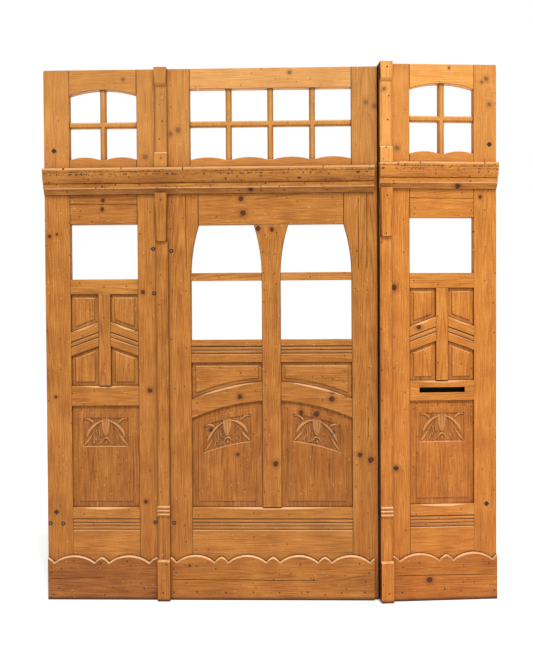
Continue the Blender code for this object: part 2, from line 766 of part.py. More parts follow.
def centre_light(side, x0, x1, bay):
    """One half of the centre bay: bar, reeded rail, small panel, arched rail and carved panel."""
    a, b = x0 + CLEAR, x1 - CLEAR
    edge = arch_top(bay)
    under = lowered(edge, ARCH_TALL)
    rail(f"centre_{side}_window_bar", a, b, level(WINDOW_BAR_TOP),
         lambda share: plain_section(WINDOW_BAR, CHAMFER_LEAST), bay, steps=1)
    rail(f"centre_{side}_reeded_rail", a, b, level(REEDED_RAIL_TOP),
         lambda share: reeded_section(REEDED_RAIL, CHAMFER_LEAST, -REEDED_DROP, REED_COUNT_CENTRE, REED),
         bay, steps=1)
    small = [*follow(edge, x0, x1), (x1, REEDED_RAIL_TOP - REEDED_RAIL), (x0, REEDED_RAIL_TOP - REEDED_RAIL)]
    fielded_panel(f"centre_{side}_small_panel", small, SMALL_MARGIN, bay)
    rail(f"centre_{side}_arched_rail", a, b, edge,
         lambda share: plain_section(ARCH_TALL, stop_chamfer(share)), bay, steps=10)
    tall = [(x0, BOTTOM_RAIL_TOP), (x1, BOTTOM_RAIL_TOP), *reversed(follow(under, x0, x1))]
    frame_top = lowered(under, TALL_MARGIN + CARVING_BELOW_FIELD)
    carved_panel(f"centre_{side}_carved_panel", tall, TALL_MARGIN, CARVING_CENTRE_WIDE,
                 CARVING_CENTRE_TALL, frame_top, (x0 + x1) / 2, bay)


def centre_bay(bay):
    centre_frame(bay)
    centre_stile(bay)
    half = CENTRE_STILE_WIDTH / 2
    centre_light("left", bay.opening, bay.axis - half, bay)
    centre_light("right", bay.axis + half, bay.opening_end, bay)
    bottom_rail("centre_bottom_rail", bay.opening, bay.opening_end, bay)


def across(x, wide, out, z, chamfer=CHAMFER_LEAST):
    """A ring round an upright: its front corners taken off by the chamfer."""
    x0, x1 = x - wide / 2, x + wide / 2
    front = -out
    return [(x0, -CLEAR, z), (x0, front + chamfer, z), (x0 + chamfer, front, z),
            (x1 - chamfer, front, z), (x1, front + chamfer, z), (x1, -CLEAR, z)]


def shaft(x, z):
    return across(x, SHAFT_WIDE, SHAFT_OUT, z, SHAFT_CHAMFER)


def upper_pilaster(name, x, foot, bay):
    """Between the cornice and the frame's top: a base block, a shaft and a cap that tapers down."""
    base = foot + UPPER_BASE_TALL
    top = HEIGHT + bay.top_lift
    cap = top - CAP_TALL
    rings = [
        across(x, PILASTER_WIDE, UPPER_BASE_OUT, foot),
        across(x, PILASTER_WIDE, UPPER_BASE_OUT, base - BLOCK_SLOPE),
        shaft(x, base),
        shaft(x, cap - CAP_UNDER),
        across(x, CAP_FOOT_WIDE, CAP_FOOT_OUT, cap),
        across(x, PILASTER_WIDE, CAP_OUT, top),
    ]
    solid(name, rings, bay)


def lower_pilaster(name, x, head, bay):
    """Below the cornice: a bracket that tapers down, a ringed neck and a block for a foot."""
    bracket_foot = head - BRACKET_TALL
    ring_foot = RING_TOP - RING_TALL
    pitch = RING_TALL / RING_COUNT
    rings = [
        across(x, PILASTER_WIDE, BASE_OUT, 0.0),
        across(x, PILASTER_WIDE, BASE_OUT, BASE_TALL - BLOCK_SLOPE),
        shaft(x, BASE_TALL),
        shaft(x, ring_foot),
    ]
    for i in range(RING_COUNT):
        low = ring_foot + pitch * i
        rings += [
            across(x, SHAFT_WIDE + RING_NECK, SHAFT_OUT + RING_NECK, low + pitch / 10),
            across(x, PILASTER_WIDE, RING_OUT, low + pitch / 3),
            across(x, PILASTER_WIDE, RING_OUT, low + pitch * 2 / 3),
        ]
    rings += [
        shaft(x, RING_TOP),
        shaft(x, bracket_foot - CHAMFER_LEAST),
        across(x, BRACKET_FOOT_WIDE, BRACKET_FOOT_OUT, bracket_foot),
        across(x, BRACKET_WIDE, BRACKET_OUT, head),
    ]
    solid(name, rings, bay)


def pilaster(name, x, bay):
    upper_pilaster(f"{name}_upper_pilaster", x, CORNICE_TOP + bay.cornice_lift + CLEAR, bay)
    lower_pilaster(f"{name}_lower_pilaster", x, CORNICE_FOOT + bay.cornice_lift - CLEAR, bay)


def empty(name, parent=None, location=(0.0, 0.0, 0.0), turn=0.0):
    made = bpy.data.objects.new(name, None)
    made.parent = parent
    made.location = location
    made.rotation_euler.z = turn
    bpy.context.collection.objects.link(made)
    return made


def build():
    clear_scene()
    turn = math.radians(TURN_B_DEG)
    overall = WIDTH_A + SECTION_GAP + WIDTH_B * math.cos(turn)
    section_a = empty("section_a", location=(-overall / 2, -THICK / 2, 0.0))
    section_b = empty("section_b", section_a, (WIDTH_A + SECTION_GAP, -FORWARD_B, 0.0), turn)
    left = Bay("left", section_a, WOOD_A, 0.0, LEFT_STILE, LEFT_OPENING, PILASTER_AXIS - CLEAR / 2,
               spring_lift=-LEFT_SPRING_DROP)
    centre = Bay("centre", section_a, WOOD_A, PILASTER_AXIS + CLEAR / 2, PILASTER_AXIS + CENTRE_STILES,
                 CENTRE_OPENING, WIDTH_A)
    right = Bay("right", section_b, WOOD_B, 0.0, SLOT_SIDE_STILE, RIGHT_OPENING, WIDTH_B, LIFT_B,
                BOTTOM_LIFT_B, CORNICE_LIFT_B, TOP_LIFT_B, TOP_LIFT_B)
    side_bay(left)
    centre_bay(centre)
    cut_letter_slot(side_bay(right), right)
    cornice("main_cornice", 0.0, WIDTH_A - CORNICE_SHORT, CORNICE_FOOT, left)
    cornice("right_cornice", 0.0, WIDTH_B, CORNICE_FOOT + CORNICE_LIFT_B, right, BROKEN_FILLET)
    pilaster("main", PILASTER_AXIS, left)
    pilaster("right", PILASTER_WIDE / 2, right)
    half = PILASTER_WIDE / 2 + CLEAR
    kick_board("left_kick_board", 0.0, PILASTER_AXIS - half, KICK_FIRST_LEFT, KICK_PITCH_LEFT, 0.0, left)
    kick_board("centre_kick_board", PILASTER_AXIS + half, WIDTH_A - KICK_END_SHORT, KICK_FIRST_CENTRE,
               KICK_PITCH_CENTRE, KICK_LIFT_CENTRE, left)
    kick_board("right_kick_board", PILASTER_WIDE + CLEAR, WIDTH_B, KICK_FIRST_RIGHT, KICK_PITCH_RIGHT,
               KICK_LIFT_RIGHT, right)


build()
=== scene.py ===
"""The looks of an entrance front of old waxed pine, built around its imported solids. Metres, +Z up."""
import math
import random

import bmesh
import bpy
import numpy as np
from mathutils import Matrix, Vector
from mathutils.bvhtree import BVHTree


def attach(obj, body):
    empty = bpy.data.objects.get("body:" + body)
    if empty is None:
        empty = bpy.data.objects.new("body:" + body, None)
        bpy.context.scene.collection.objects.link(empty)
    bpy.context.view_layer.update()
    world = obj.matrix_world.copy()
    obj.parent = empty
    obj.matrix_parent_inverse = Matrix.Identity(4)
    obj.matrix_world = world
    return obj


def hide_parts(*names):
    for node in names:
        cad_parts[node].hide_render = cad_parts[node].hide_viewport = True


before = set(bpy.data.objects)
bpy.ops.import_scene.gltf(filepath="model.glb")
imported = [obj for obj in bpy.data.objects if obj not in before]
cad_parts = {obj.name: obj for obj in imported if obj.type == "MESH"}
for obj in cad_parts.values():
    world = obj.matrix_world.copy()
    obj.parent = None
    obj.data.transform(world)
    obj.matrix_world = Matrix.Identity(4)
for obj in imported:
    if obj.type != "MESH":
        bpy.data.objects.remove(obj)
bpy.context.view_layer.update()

# The view. The photograph was taken from about four and a half metres in front of the left and centre
# bays, a little right of their middle and just below eye level, with the camera turned a shade left.
VIEW_POINT = (0.1076, -4.5225, 1.4628)
VIEW_LEFT_DEG = 1.621
VIEW_DOWN_DEG = 1.169
VIEW_ROLL_DEG = -0.342
FOCAL_PIXELS = 880.59
PICTURE_TALL = 666
FILM = 36.0

eye = bpy.data.cameras.new("view")
eye.sensor_fit = "VERTICAL"
eye.sensor_height = FILM
eye.lens = FOCAL_PIXELS / PICTURE_TALL * FILM
camera = bpy.data.objects.new("view", eye)
bpy.context.collection.objects.link(camera)
camera.matrix_world = (
    Matrix.Translation(VIEW_POINT)
    @ Matrix.Rotation(math.radians(VIEW_LEFT_DEG), 4, "Z")
    @ Matrix.Rotation(math.radians(90 - VIEW_DOWN_DEG), 4, "X")
    @ Matrix.Rotation(math.radians(VIEW_ROLL_DEG), 4, "Z")
)
bpy.context.scene.camera = camera
bpy.context.scene.view_settings.view_transform = "Standard"


def linear(colour):
    """A colour such as "#c98a4b" as the linear values that a shader takes."""
    values = [int(colour[i:i + 2], 16) / 255 for i in (1, 3, 5)]
    return [v / 12.92 if v <= 0.04045 else ((v + 0.055) / 1.055) ** 2.4 for v in values] + [1.0]


def add_node(tree, kind, settings=None, **links):
    """Adds a node. A link's name is its socket's, with _ for a space, or in_0 for a socket by number."""
    node = tree.nodes.new(kind)
    for key, value in (settings or {}).items():
        setattr(node, key, value)
    for key, value in links.items():
        socket = node.inputs[int(key[3:])] if key.startswith("in_") else node.inputs[key.replace("_", " ")]
        if isinstance(value, bpy.types.NodeSocket):
            tree.links.new(value, socket)
        else:
            socket.default_value = value
    return node


# Studio light: a white room all round, with one broad soft lamp high up in front and to the right, so
# that upper edges are bright and undersides dark. The floor is pale and plain, and glows a little, so
# that the lamp's shadow on it stays light.
ROOM = 0.35
LAMP_FROM = (0.55, -2.3, 3.9)
LAMP_STRENGTH = 3.3
LAMP_SPREAD_DEG = 14.0
FLOOR_SIZE = 60.0
FLOOR_COLOUR = "#dcdcdc"
FLOOR_ROUGH = 0.9
FLOOR_GLOW = 0.27

world = bpy.data.worlds.new("white_room")
world.use_nodes = True
sky = world.node_tree
sky.nodes.clear()
seen = add_node(sky, "ShaderNodeLightPath").outputs["Is Camera Ray"]
strength = add_node(sky, "ShaderNodeMapRange", in_0=seen, in_3=ROOM, in_4=1.0).outputs[0]
room = add_node(sky, "ShaderNodeBackground", Color=(1, 1, 1, 1), Strength=strength)
add_node(sky, "ShaderNodeOutputWorld", Surface=room.outputs[0])
bpy.context.scene.world = world

lamp = bpy.data.lights.new("soft_lamp", "SUN")
lamp.energy = LAMP_STRENGTH
lamp.angle = math.radians(LAMP_SPREAD_DEG)
holder = bpy.data.objects.new("soft_lamp", lamp)
holder.rotation_euler = Vector(LAMP_FROM).to_track_quat("Z", "Y").to_euler()
bpy.context.collection.objects.link(holder)

floor_mesh = bpy.data.meshes.new("floor")
half = FLOOR_SIZE / 2
floor_mesh.from_pydata([(-half, -half, 0), (half, -half, 0), (half, half, 0), (-half, half, 0)], [],
                       [(0, 1, 2, 3)])
floor = bpy.data.objects.new("floor", floor_mesh)
bpy.context.collection.objects.link(floor)
paint = bpy.data.materials.new("pale_floor")
paint.use_nodes = True
floor_paint = paint.node_tree.nodes["Principled BSDF"].inputs
floor_paint["Base Color"].default_value = linear(FLOOR_COLOUR)
floor_paint["Roughness"].default_value = FLOOR_ROUGH
floor_paint["Emission Color"].default_value = linear("#ffffff")
floor_paint["Emission Strength"].default_value = FLOOR_GLOW
floor_mesh.materials.append(paint)

# The two sections. The left and centre bays are one framing, the right bay is another that stands
# beside it, turned. Sizes in this file are measured inside a section: x from its left edge, y back
# from the front of its framing, z up from the floor.
TURN_RIGHT = math.radians(5.7)


def section_matrix(outer_stile, turn):
    """Where a section's left, front, bottom corner is, and how the section is turned."""
    spin = Matrix.Rotation(turn, 4, "Z")
    places = [spin.inverted() @ Vector(corner.co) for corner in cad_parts[outer_stile].data.vertices]
    corner = Vector((min(p.x for p in places), min(p.y for p in places), 0.0))
    return spin @ Matrix.Translation(corner)


MAIN = section_matrix("left_outer_stile", 0.0)
RIGHT = section_matrix("right_outer_stile", TURN_RIGHT)


def section_of(node):
    return RIGHT if node.startswith("right_") else MAIN


def extent(node):
    """A node's lowest and highest corners inside its section."""
    inverse = section_of(node).inverted()
    places = [inverse @ corner.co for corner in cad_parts[node].data.vertices]
    return [[pick(p[i] for p in places) for i in range(3)] for pick in (min, max)]


# Old pine, stripped and waxed: Scots pine, flat sawn, so the growth rings show as long lines and
# pointed arches. Waxing gives a low sheen; age gives dark knots, nail holes, dirt in the corners and
# pale, rubbed edges, and painted shade deepens the corners and painted highlights pale the upper
# edges. Each tone is the light, the middle and the dark wood of a board. A board that BOARD_TONES
# leaves out is honey, or orange in the right section. A knot is its x, its z and its size.
RING_SPACING = 0.0070
RING_DRIFT = 0.10
RINGS_ROUND_KNOT = 3.0
KNOT_RAGGED = 1.3
KNOT_COLOURS = ((0.50, "#854211"), (0.97, "#291204"), (0.55, "#74390f"))
FLECKS = ((60, 24), 0.06, 0.16, 0.05)
FLECK_AMOUNT, FLECK_COLOUR = 0.45, "#f2c88c"
PRICKS = ((17, 12), 0.030, 0.070, 0.32)
PRICK_AMOUNT, PRICK_COLOUR = 0.85, "#3c2210"
RUBBED_AND_HIGHLIGHT_COLOUR = "#f9cf97"
GRIME_AND_SHADE_COLOUR = "#3a200f"
# Each row: from which height, to which, how much, towards what, how blended. A painted highlight at the top
# and painted shade growing low down, both partly the wood's tone; a painted contact shadow, with stain, at
# the foot.
HEIGHT_TINTS = (
    (2.24, 2.19, 0.20, "#f1b264", "MIX"),
    (0.0, 1.9, 0.55, "#d9c8b4", "MULTIPLY"),
    (0.006, 0.018, 0.80, "#341c0d", "MIX"),
)
# Painted shade in recesses and joints, with their dirt: how far it looks, from how shut in, how dark at
# most, and the colour of the shade.
JOINT_SHADE_AND_DIRT = ((0.030, 0.30, 0.50, "#7a4a22"), (0.007, 0.45, 0.80, "#5a3216"))
JOINT_OPEN = 0.93
ROUGH_LEAST, ROUGH_RANGE = 0.36, 0.25
WAX_GLOSS = 0.3
FIBRE_BUMP, FIBRE_DEEP = 0.3, 0.001
TONES = {
    "pale": ("#e8b070", "#cd8d48", "#935926"),
    "light": ("#d8984b", "#b5732b", "#764217"),
    "honey": ("#d19045", "#ae6b25", "#6e3b12"),
    "brown": ("#c8863d", "#a2601e", "#62330e"),
    "deep": ("#bb7a38", "#94561c", "#562c0e"),
    "straw": ("#f5b766", "#df923d", "#a35d1f"),
    "orange": ("#e59d4a", "#c57829", "#844615"),
    "amber": ("#d88f3e", "#b56922", "#753a10"),
}
BOARD_TONES = {
    "left_transom_board": "brown", "left_window_rail": "light", "left_carved_panel": "brown",
    "left_kick_board": "deep", "left_bottom_rail": "light", "left_fanlight_bars": "light",
    "centre_top_rail": "pale", "centre_left_window_bar": "light", "centre_right_window_bar": "light",
    "centre_bottom_rail": "light", "centre_fanlight_bars": "light",
    "centre_left_carved_panel": "brown", "centre_right_carved_panel": "brown",
    "right_top_rail": "straw", "right_upper_pilaster": "straw", "right_carved_panel": "amber",
    "right_kick_board": "amber",
}
KNOTS = {
    "left_outer_stile": [(0.023, 1.873, 0.009), (0.062, 1.884, 0.006), (0.048, 1.047, 0.008)],
    "left_top_rail": [(0.410, 2.670, 0.009)],
    "left_inner_stile": [(0.522, 2.275, 0.013), (0.503, 1.584, 0.010), (0.535, 1.079, 0.013),
                         (0.509, 0.505, 0.010)],
    "left_transom_board": [(0.301, 2.055, 0.010), (0.297, 2.010, 0.009)],
    "left_lock_rail": [(0.320, 1.100, 0.010)],
    "centre_left_stile": [(0.690, 2.409, 0.013), (0.652, 2.390, 0.010)],
    "centre_transom_board": [(1.009, 2.056, 0.012), (1.019, 1.984, 0.015)],
    "centre_top_rail": [(1.260, 2.694, 0.010)],
    "centre_right_stile": [(1.647, 2.538, 0.010), (1.690, 2.518, 0.011), (1.611, 0.745, 0.011),
                           (1.666, 0.719, 0.014)],
    "centre_middle_stile": [(1.179, 0.700, 0.013), (1.096, 1.904, 0.013), (1.167, 1.899, 0.012)],
    "centre_left_arched_rail": [(0.998, 1.045, 0.013)],
    "centre_left_carved_panel": [(0.984, 0.748, 0.010), (0.847, 0.873, 0.010)],
    "centre_right_arched_rail": [(1.472, 1.070, 0.013), (1.468, 1.032, 0.016)],
    "centre_right_carved_panel": [(1.311, 0.963, 0.011), (1.475, 0.859, 0.010), (1.390, 0.955, 0.016)],
    "main_cornice": [(1.060, 2.103, 0.012)],
    "centre_kick_board": [(0.733, 0.177, 0.007)],
    "right_outer_stile": [(0.076, 1.599, 0.013), (0.083, 0.679, 0.013), (0.093, 2.303, 0.012)],
    "right_inner_stile": [(0.569, 2.527, 0.010), (0.553, 2.656, 0.010), (0.521, 2.058, 0.008),
                          (0.530, 2.640, 0.008)],
    "right_left_slanted_rail": [(0.203, 1.396, 0.013)],
    "right_top_rail": [(0.361, 2.709, 0.006)],
    "right_cornice": [(0.402, 2.110, 0.013)],
    "right_kick_board": [(0.252, 0.107, 0.015)],
    "right_upper_pilaster": [(0.022, 2.594, 0.011)],
}
LEVEL = ("rail", "board", "bar", "cornice", "panel")


def calc(tree, operation, first, second=0.0, third=0.0):
    return add_node(tree, "ShaderNodeMath", {"operation": operation}, in_0=first, in_1=second,
                    in_2=third).outputs[0]


def noise(tree, place, scale, offset=0.0, detail=3.0):
    """Smooth noise, stretched by a scale for each axis."""
    moved = add_node(tree, "ShaderNodeVectorMath", {"operation": "MULTIPLY_ADD"}, in_0=place, in_1=scale,
                     in_2=(offset, 0.0, offset))
    return add_node(tree, "ShaderNodeTexNoise", Vector=moved.outputs[0], Scale=1.0, Detail=detail,
                    Roughness=0.55).outputs["Fac"]


def ramp_down(tree, value, near, far, high=1.0, smooth="SMOOTHSTEP"):
    """High at near and on its side, and nothing from far on. Either of the two may be the larger."""
    return add_node(tree, "ShaderNodeMapRange", {"interpolation_type": smooth}, in_0=value, in_1=near,
                    in_2=far, in_3=high, in_4=0.0).outputs[0]


def tint(tree, colour, amount, towards, blend="MIX"):
    return add_node(tree, "ShaderNodeMix", {"data_type": "RGBA", "blend_type": blend}, in_0=amount,
                    in_6=colour, in_7=linear(towards)).outputs[2]


def specks(tree, place, scale, small, large, share):
    """Scattered spots on a board's face, in that share of the cells of a stretched grid."""
    parts = add_node(tree, "ShaderNodeSeparateXYZ", Vector=place).outputs
    cells = add_node(tree, "ShaderNodeCombineXYZ", X=calc(tree, "MULTIPLY", parts[0], scale[0]),
                     Y=calc(tree, "MULTIPLY", parts[2], scale[1]))
    spot = add_node(tree, "ShaderNodeTexVoronoi", {"voronoi_dimensions": "2D"}, Vector=cells.outputs[0],
                    Scale=1.0)
    lucky = add_node(tree, "ShaderNodeSeparateColor", in_0=spot.outputs["Color"]).outputs[0]
    return calc(tree, "MULTIPLY", ramp_down(tree, spot.outputs["Distance"], small, large, 1.0, "LINEAR"),
                calc(tree, "LESS_THAN", lucky, share))


def pine(name, section, lies, tone, seed, middle, knots=(), lean=0.0, shade_and_dirt=1.0):
    """Waxed pine for one board around its middle. Its grain lies "upright" or "level", tipped by lean."""
    made = bpy.data.materials.new(name)
    made.use_nodes = True
    tree = made.node_tree
    shader = tree.nodes["Principled BSDF"]
    pick = random.Random(seed)
    into = section.inverted()
    here = add_node(tree, "ShaderNodeTexCoord").outputs["Object"]
    here = add_node(tree, "ShaderNodeMapping", Vector=here, Location=into.to_translation(),
                    Rotation=into.to_euler()).outputs[0]
    turn = Matrix.Rotation(math.radians(-90) + lean, 4, "Y") if lies == "level" else Matrix.Identity(4)
    centre = turn @ Vector((middle[0], 0.0, middle[1]))
    grain = add_node(tree, "ShaderNodeMapping", Vector=here, Rotation=turn.to_euler(),
                     Location=(pick.uniform(-0.07, 0.07) - centre.x, 0.0, -centre.z)).outputs[0]

    # Growth rings round the heart of the log, which runs along the board, a little askew.
    away = pick.uniform(3.0, 30.0)
    parts = add_node(tree, "ShaderNodeSeparateXYZ", Vector=grain).outputs
    drift = noise(tree, grain, (7.0, 7.0, 1.4), away, 2.0)
    aside = calc(tree, "MULTIPLY_ADD", drift, RING_DRIFT, calc(tree, "ADD", parts[0], -RING_DRIFT / 2))
    deep = calc(tree, "MULTIPLY_ADD", parts[2], pick.uniform(0.015, 0.035), pick.uniform(0.02, 0.05))
    deep = calc(tree, "ADD", deep, parts[1])
    across = calc(tree, "SQRT", calc(tree, "MULTIPLY_ADD", aside, aside, calc(tree, "MULTIPLY", deep, deep)))
    rings = calc(tree, "DIVIDE", across, RING_SPACING)

    # Knots: dark, ragged at the edge, with the grain swept round them.
    ragged = noise(tree, here, (130.0, 130.0, 130.0), away, 2.0)
    knot, collar, heart = None, None, None
    for x, z, size in knots:
        apart = add_node(tree, "ShaderNodeVectorMath", {"operation": "SUBTRACT"}, in_0=here, in_1=(x, 0, z))
        apart = add_node(tree, "ShaderNodeVectorMath", {"operation": "MULTIPLY"}, in_0=apart.outputs[0],
                         in_1=(1 / size, 0.2 / size, pick.uniform(0.8, 1.15) / size))
        far = add_node(tree, "ShaderNodeVectorMath", {"operation": "LENGTH"},
                       in_0=apart.outputs[0]).outputs["Value"]
        far = calc(tree, "MULTIPLY_ADD", calc(tree, "SUBTRACT", ragged, 0.5), KNOT_RAGGED, far)
        swept = ramp_down(tree, far, 0.4, 5.0, RINGS_ROUND_KNOT, "SMOOTHERSTEP")
        rings = calc(tree, "ADD", rings, swept)
        core, halo = ramp_down(tree, far, 0.70, 1.15), ramp_down(tree, far, 0.9, 2.8)
        inner = ramp_down(tree, far, 0.35, 0.75)
        knot = core if knot is None else calc(tree, "MAXIMUM", knot, core)
        collar = halo if collar is None else calc(tree, "MAXIMUM", collar, halo)
        heart = inner if heart is None else calc(tree, "MAXIMUM", heart, inner)

    wave = calc(tree, "SINE", calc(tree, "MULTIPLY", rings, 2 * math.pi))
    wave = calc(tree, "POWER", calc(tree, "MULTIPLY_ADD", wave, 0.5, 0.5), 2.0)
    fibre = noise(tree, grain, (300.0, 90.0, 9.0), 0.0)
    stain = noise(tree, grain, (30.0, 20.0, 1.6), away, 4.0)
    streak = noise(tree, grain, (150.0, 60.0, 8.0), away, 5.0)
    blot = noise(tree, here, (7.0, 7.0, 7.0), away, 4.0)
    shade = calc(tree, "MULTIPLY", wave, calc(tree, "MULTIPLY", streak, 0.30))
    for part, weight in ((fibre, 0.32), (stain, 0.42), (streak, 0.62), (blot, 0.50), (ragged, 0.30)):
        shade = calc(tree, "MULTIPLY_ADD", calc(tree, "SUBTRACT", part, 0.5), weight, shade)
    light, body, dark = (linear(colour) for colour in TONES[tone])
    ramp = add_node(tree, "ShaderNodeValToRGB", Fac=calc(tree, "ADD", shade, 0.42))
    ramp.color_ramp.elements[0].position, ramp.color_ramp.elements[0].color = 0.12, light
    ramp.color_ramp.elements[1].position, ramp.color_ramp.elements[1].color = 0.90, dark
    ramp.color_ramp.elements.new(0.50).color = body
    colour = ramp.outputs["Color"]

    # Small pale flecks of old filler and dark nail pricks, scattered thinly.
    flecks = calc(tree, "MULTIPLY", specks(tree, grain, *FLECKS), FLECK_AMOUNT)
    colour = tint(tree, colour, flecks, FLECK_COLOUR)
    pricks = calc(tree, "MULTIPLY", specks(tree, here, *PRICKS), PRICK_AMOUNT)
    colour = tint(tree, colour, pricks, PRICK_COLOUR)
    if knot is not None:
        for spot, (amount, towards) in zip((collar, knot, heart), KNOT_COLOURS):
            colour = tint(tree, colour, calc(tree, "MULTIPLY", spot, amount), towards)

    # The wood is paler above the cornice and darker low down, partly painted light from above and partly its
    # own tone, and a painted contact shadow with stain darkens the foot. Rubbed edges are pale, partly a
    # painted highlight; painted shade and dirt lie on lower slants, cracks, pits and gaps; and painted shade
    # from ambient occlusion, with dirt and old wax, darkens the joints.
    height = add_node(tree, "ShaderNodeSeparateXYZ", Vector=here).outputs[2]
    for near, far, most, towards, blend in HEIGHT_TINTS:
        amount = ramp_down(tree, height, near, far, most, "LINEAR")
        colour = tint(tree, colour, amount, towards, blend)
    # Rubbed faces: wear, plus a painted highlight on upper slants, ridges, fillets and ledges.
    rubbed_and_highlit = add_node(tree, "ShaderNodeAttribute", {"attribute_name": "rubbed_and_highlit"}).outputs["Fac"]
    patchy = calc(tree, "MULTIPLY", rubbed_and_highlit, calc(tree, "MULTIPLY_ADD", stain, 1.5, -0.05))
    colour = tint(tree, colour, patchy, RUBBED_AND_HIGHLIGHT_COLOUR)
    # Grime faces: dirt, plus painted shade on lower slants, cracks, pits, hollows, the gap side and the
    # slot.
    grime_and_shade = add_node(tree, "ShaderNodeAttribute", {"attribute_name": "grime_and_shade"}).outputs["Fac"]
    colour = tint(tree, colour, grime_and_shade, GRIME_AND_SHADE_COLOUR)
    # Painted shade: ambient occlusion darkens recesses and joints, for their shade along with their dirt.
    for reach, near, most, shadow in JOINT_SHADE_AND_DIRT:
        open_sky = add_node(tree, "ShaderNodeAmbientOcclusion", {"samples": 6}, Distance=reach).outputs["AO"]
        shut_in = ramp_down(tree, open_sky, near, JOINT_OPEN, most * shade_and_dirt, "LINEAR")
        colour = tint(tree, colour, shut_in, shadow, "MULTIPLY")
    tree.links.new(colour, shader.inputs["Base Color"])
    tree.links.new(calc(tree, "MULTIPLY_ADD", stain, ROUGH_RANGE, ROUGH_LEAST), shader.inputs["Roughness"])
    shader.inputs["Specular IOR Level"].default_value = WAX_GLOSS
    raised = calc(tree, "MULTIPLY", calc(tree, "SUBTRACT", fibre, wave), 0.5)
    bump = add_node(tree, "ShaderNodeBump", Height=raised, Strength=FIBRE_BUMP, Distance=FIBRE_DEEP)
    tree.links.new(bump.outputs[0], shader.inputs["Normal"])
    return made


def board_material(node, seed, lies=None, lean=0.0, shade_and_dirt=1.0):
    """The pine of one board: its own tone, knots and place in the log."""
    low, high = extent(node)
    middle = ((low[0] + high[0]) / 2, (low[2] + high[2]) / 2)
    lies = lies or ("level" if node.rsplit("_", 1)[-1] in LEVEL else "upright")
    tone = BOARD_TONES.get(node, "orange" if node.startswith("right_") else "honey")
    return pine(f"waxed_pine_{node}", section_of(node), lies, tone, seed, middle, KNOTS.get(node, ()),
                lean, shade_and_dirt)


# The framing: stiles, rails, muntins and transom boards of sawn and planed pine, mortised and pegged.
# Every arris is rubbed round, and each joint shows as a fine dark line. Old cracks and glue lines run
# with the grain: each is given by its two ends.
ARRIS = 0.0022
FINE_ARRIS = 0.0009
MERGE = 0.00002
FLAT = math.radians(0.4)
SHARP = math.radians(24)
CREASE = math.radians(35)
BROAD = 0.006
SLANTING = (-0.965, -0.15)
LOOKS_UP = 0.2
SQUARE_ON = 0.9
SLANT = math.atan(0.365)
CRACK_HALF = 0.0016
CRACK_DEEP = 0.0035
CRACK_REACH = 0.004
CRACK_STATION = 0.02
CRACK_WANDER = 0.0012
CRACK_GRIME_AND_SHADE = 0.75
WORN_CORNER = 0.009
WORN_CORNERS = {"left_outer_stile": -1, "right_inner_stile": 1}
SLOT_ASIDE, SLOT_ABOVE, SLOT_BEHIND = 0.01, 0.012, 0.0015
SLOT_WALL = 0.6
SLOT_SHADE_AND_GRIME = 0.97
GAP_SIDE = 0.004
GAP_SHADE_AND_GRIME = 0.95
BESIDE_GAP = ("right_outer_stile", "right_kick_board", "right_lower_pilaster", "right_upper_pilaster")
CRACKS = {
    "left_transom_board": [(0.131, 2.036, 0.476, 2.034)],
    "right_transom_board": [(0.158, 2.052, 0.488, 2.050)],
    "centre_right_stile": [(1.606, 1.690, 1.606, 2.060), (1.650, 1.700, 1.650, 2.080),
                           (1.650, 0.800, 1.654, 0.940)],
    "centre_left_stile": [(0.726, 1.700, 0.726, 2.080)],
    "left_kick_board": [(0.003, 0.110, 0.300, 0.114), (0.010, 0.028, 0.045, 0.028)],
    "centre_kick_board": [(0.640, 0.106, 1.400, 0.102)],
    "right_kick_board": [(0.080, 0.132, 0.600, 0.128)],
    "left_carved_panel": [(0.250, 0.500, 0.250, 0.690)],
    "centre_right_carved_panel": [(1.300, 0.500, 1.300, 0.640)],
}


def clean_copy(node):
    """The node's shape inside its section, with its loose triangles joined and flat faces made whole."""
    shape = bmesh.new()
    shape.from_mesh(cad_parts[node].data)
    bmesh.ops.transform(shape, matrix=section_of(node).inverted(), verts=shape.verts)
    bmesh.ops.remove_doubles(shape, verts=shape.verts, dist=MERGE)
    bmesh.ops.dissolve_limit(shape, angle_limit=FLAT, verts=shape.verts, edges=shape.edges)
    shape.faces.layers.float.new("rubbed_and_highlit")
    shape.faces.layers.float.new("grime_and_shade")
    return shape


def rub_arrises(shape, wide, worn_and_lit, dirt_and_shade_below):
    """Rounds sharp edges; upward slants get a painted highlight with wear, others painted shade with dirt.
    """
    edges = [
        edge for edge in shape.edges
        if len(edge.link_faces) == 2 and edge.calc_face_angle(0.0) > SHARP and edge.calc_length() > 2 * wide
    ]
    bmesh.ops.bevel(shape, geom=edges, offset=wide, offset_type="OFFSET", segments=2, profile=0.5,
                    affect="EDGES", clamp_overlap=True)
    shape.normal_update()
    rubbed_and_highlit, grime_and_shade = shape.faces.layers.float["rubbed_and_highlit"], shape.faces.layers.float["grime_and_shade"]
    for face in shape.faces:
        slanting = SLANTING[0] < face.normal.y < SLANTING[1]
        if slanting and face.normal.z > LOOKS_UP:
            face[rubbed_and_highlit] = worn_and_lit
        elif slanting:
            face[grime_and_shade] = dirt_and_shade_below


def cut(shape, place, normal):
    every = shape.verts[:] + shape.edges[:] + shape.faces[:]
    bmesh.ops.bisect_plane(shape, geom=every, plane_co=place, plane_no=normal)


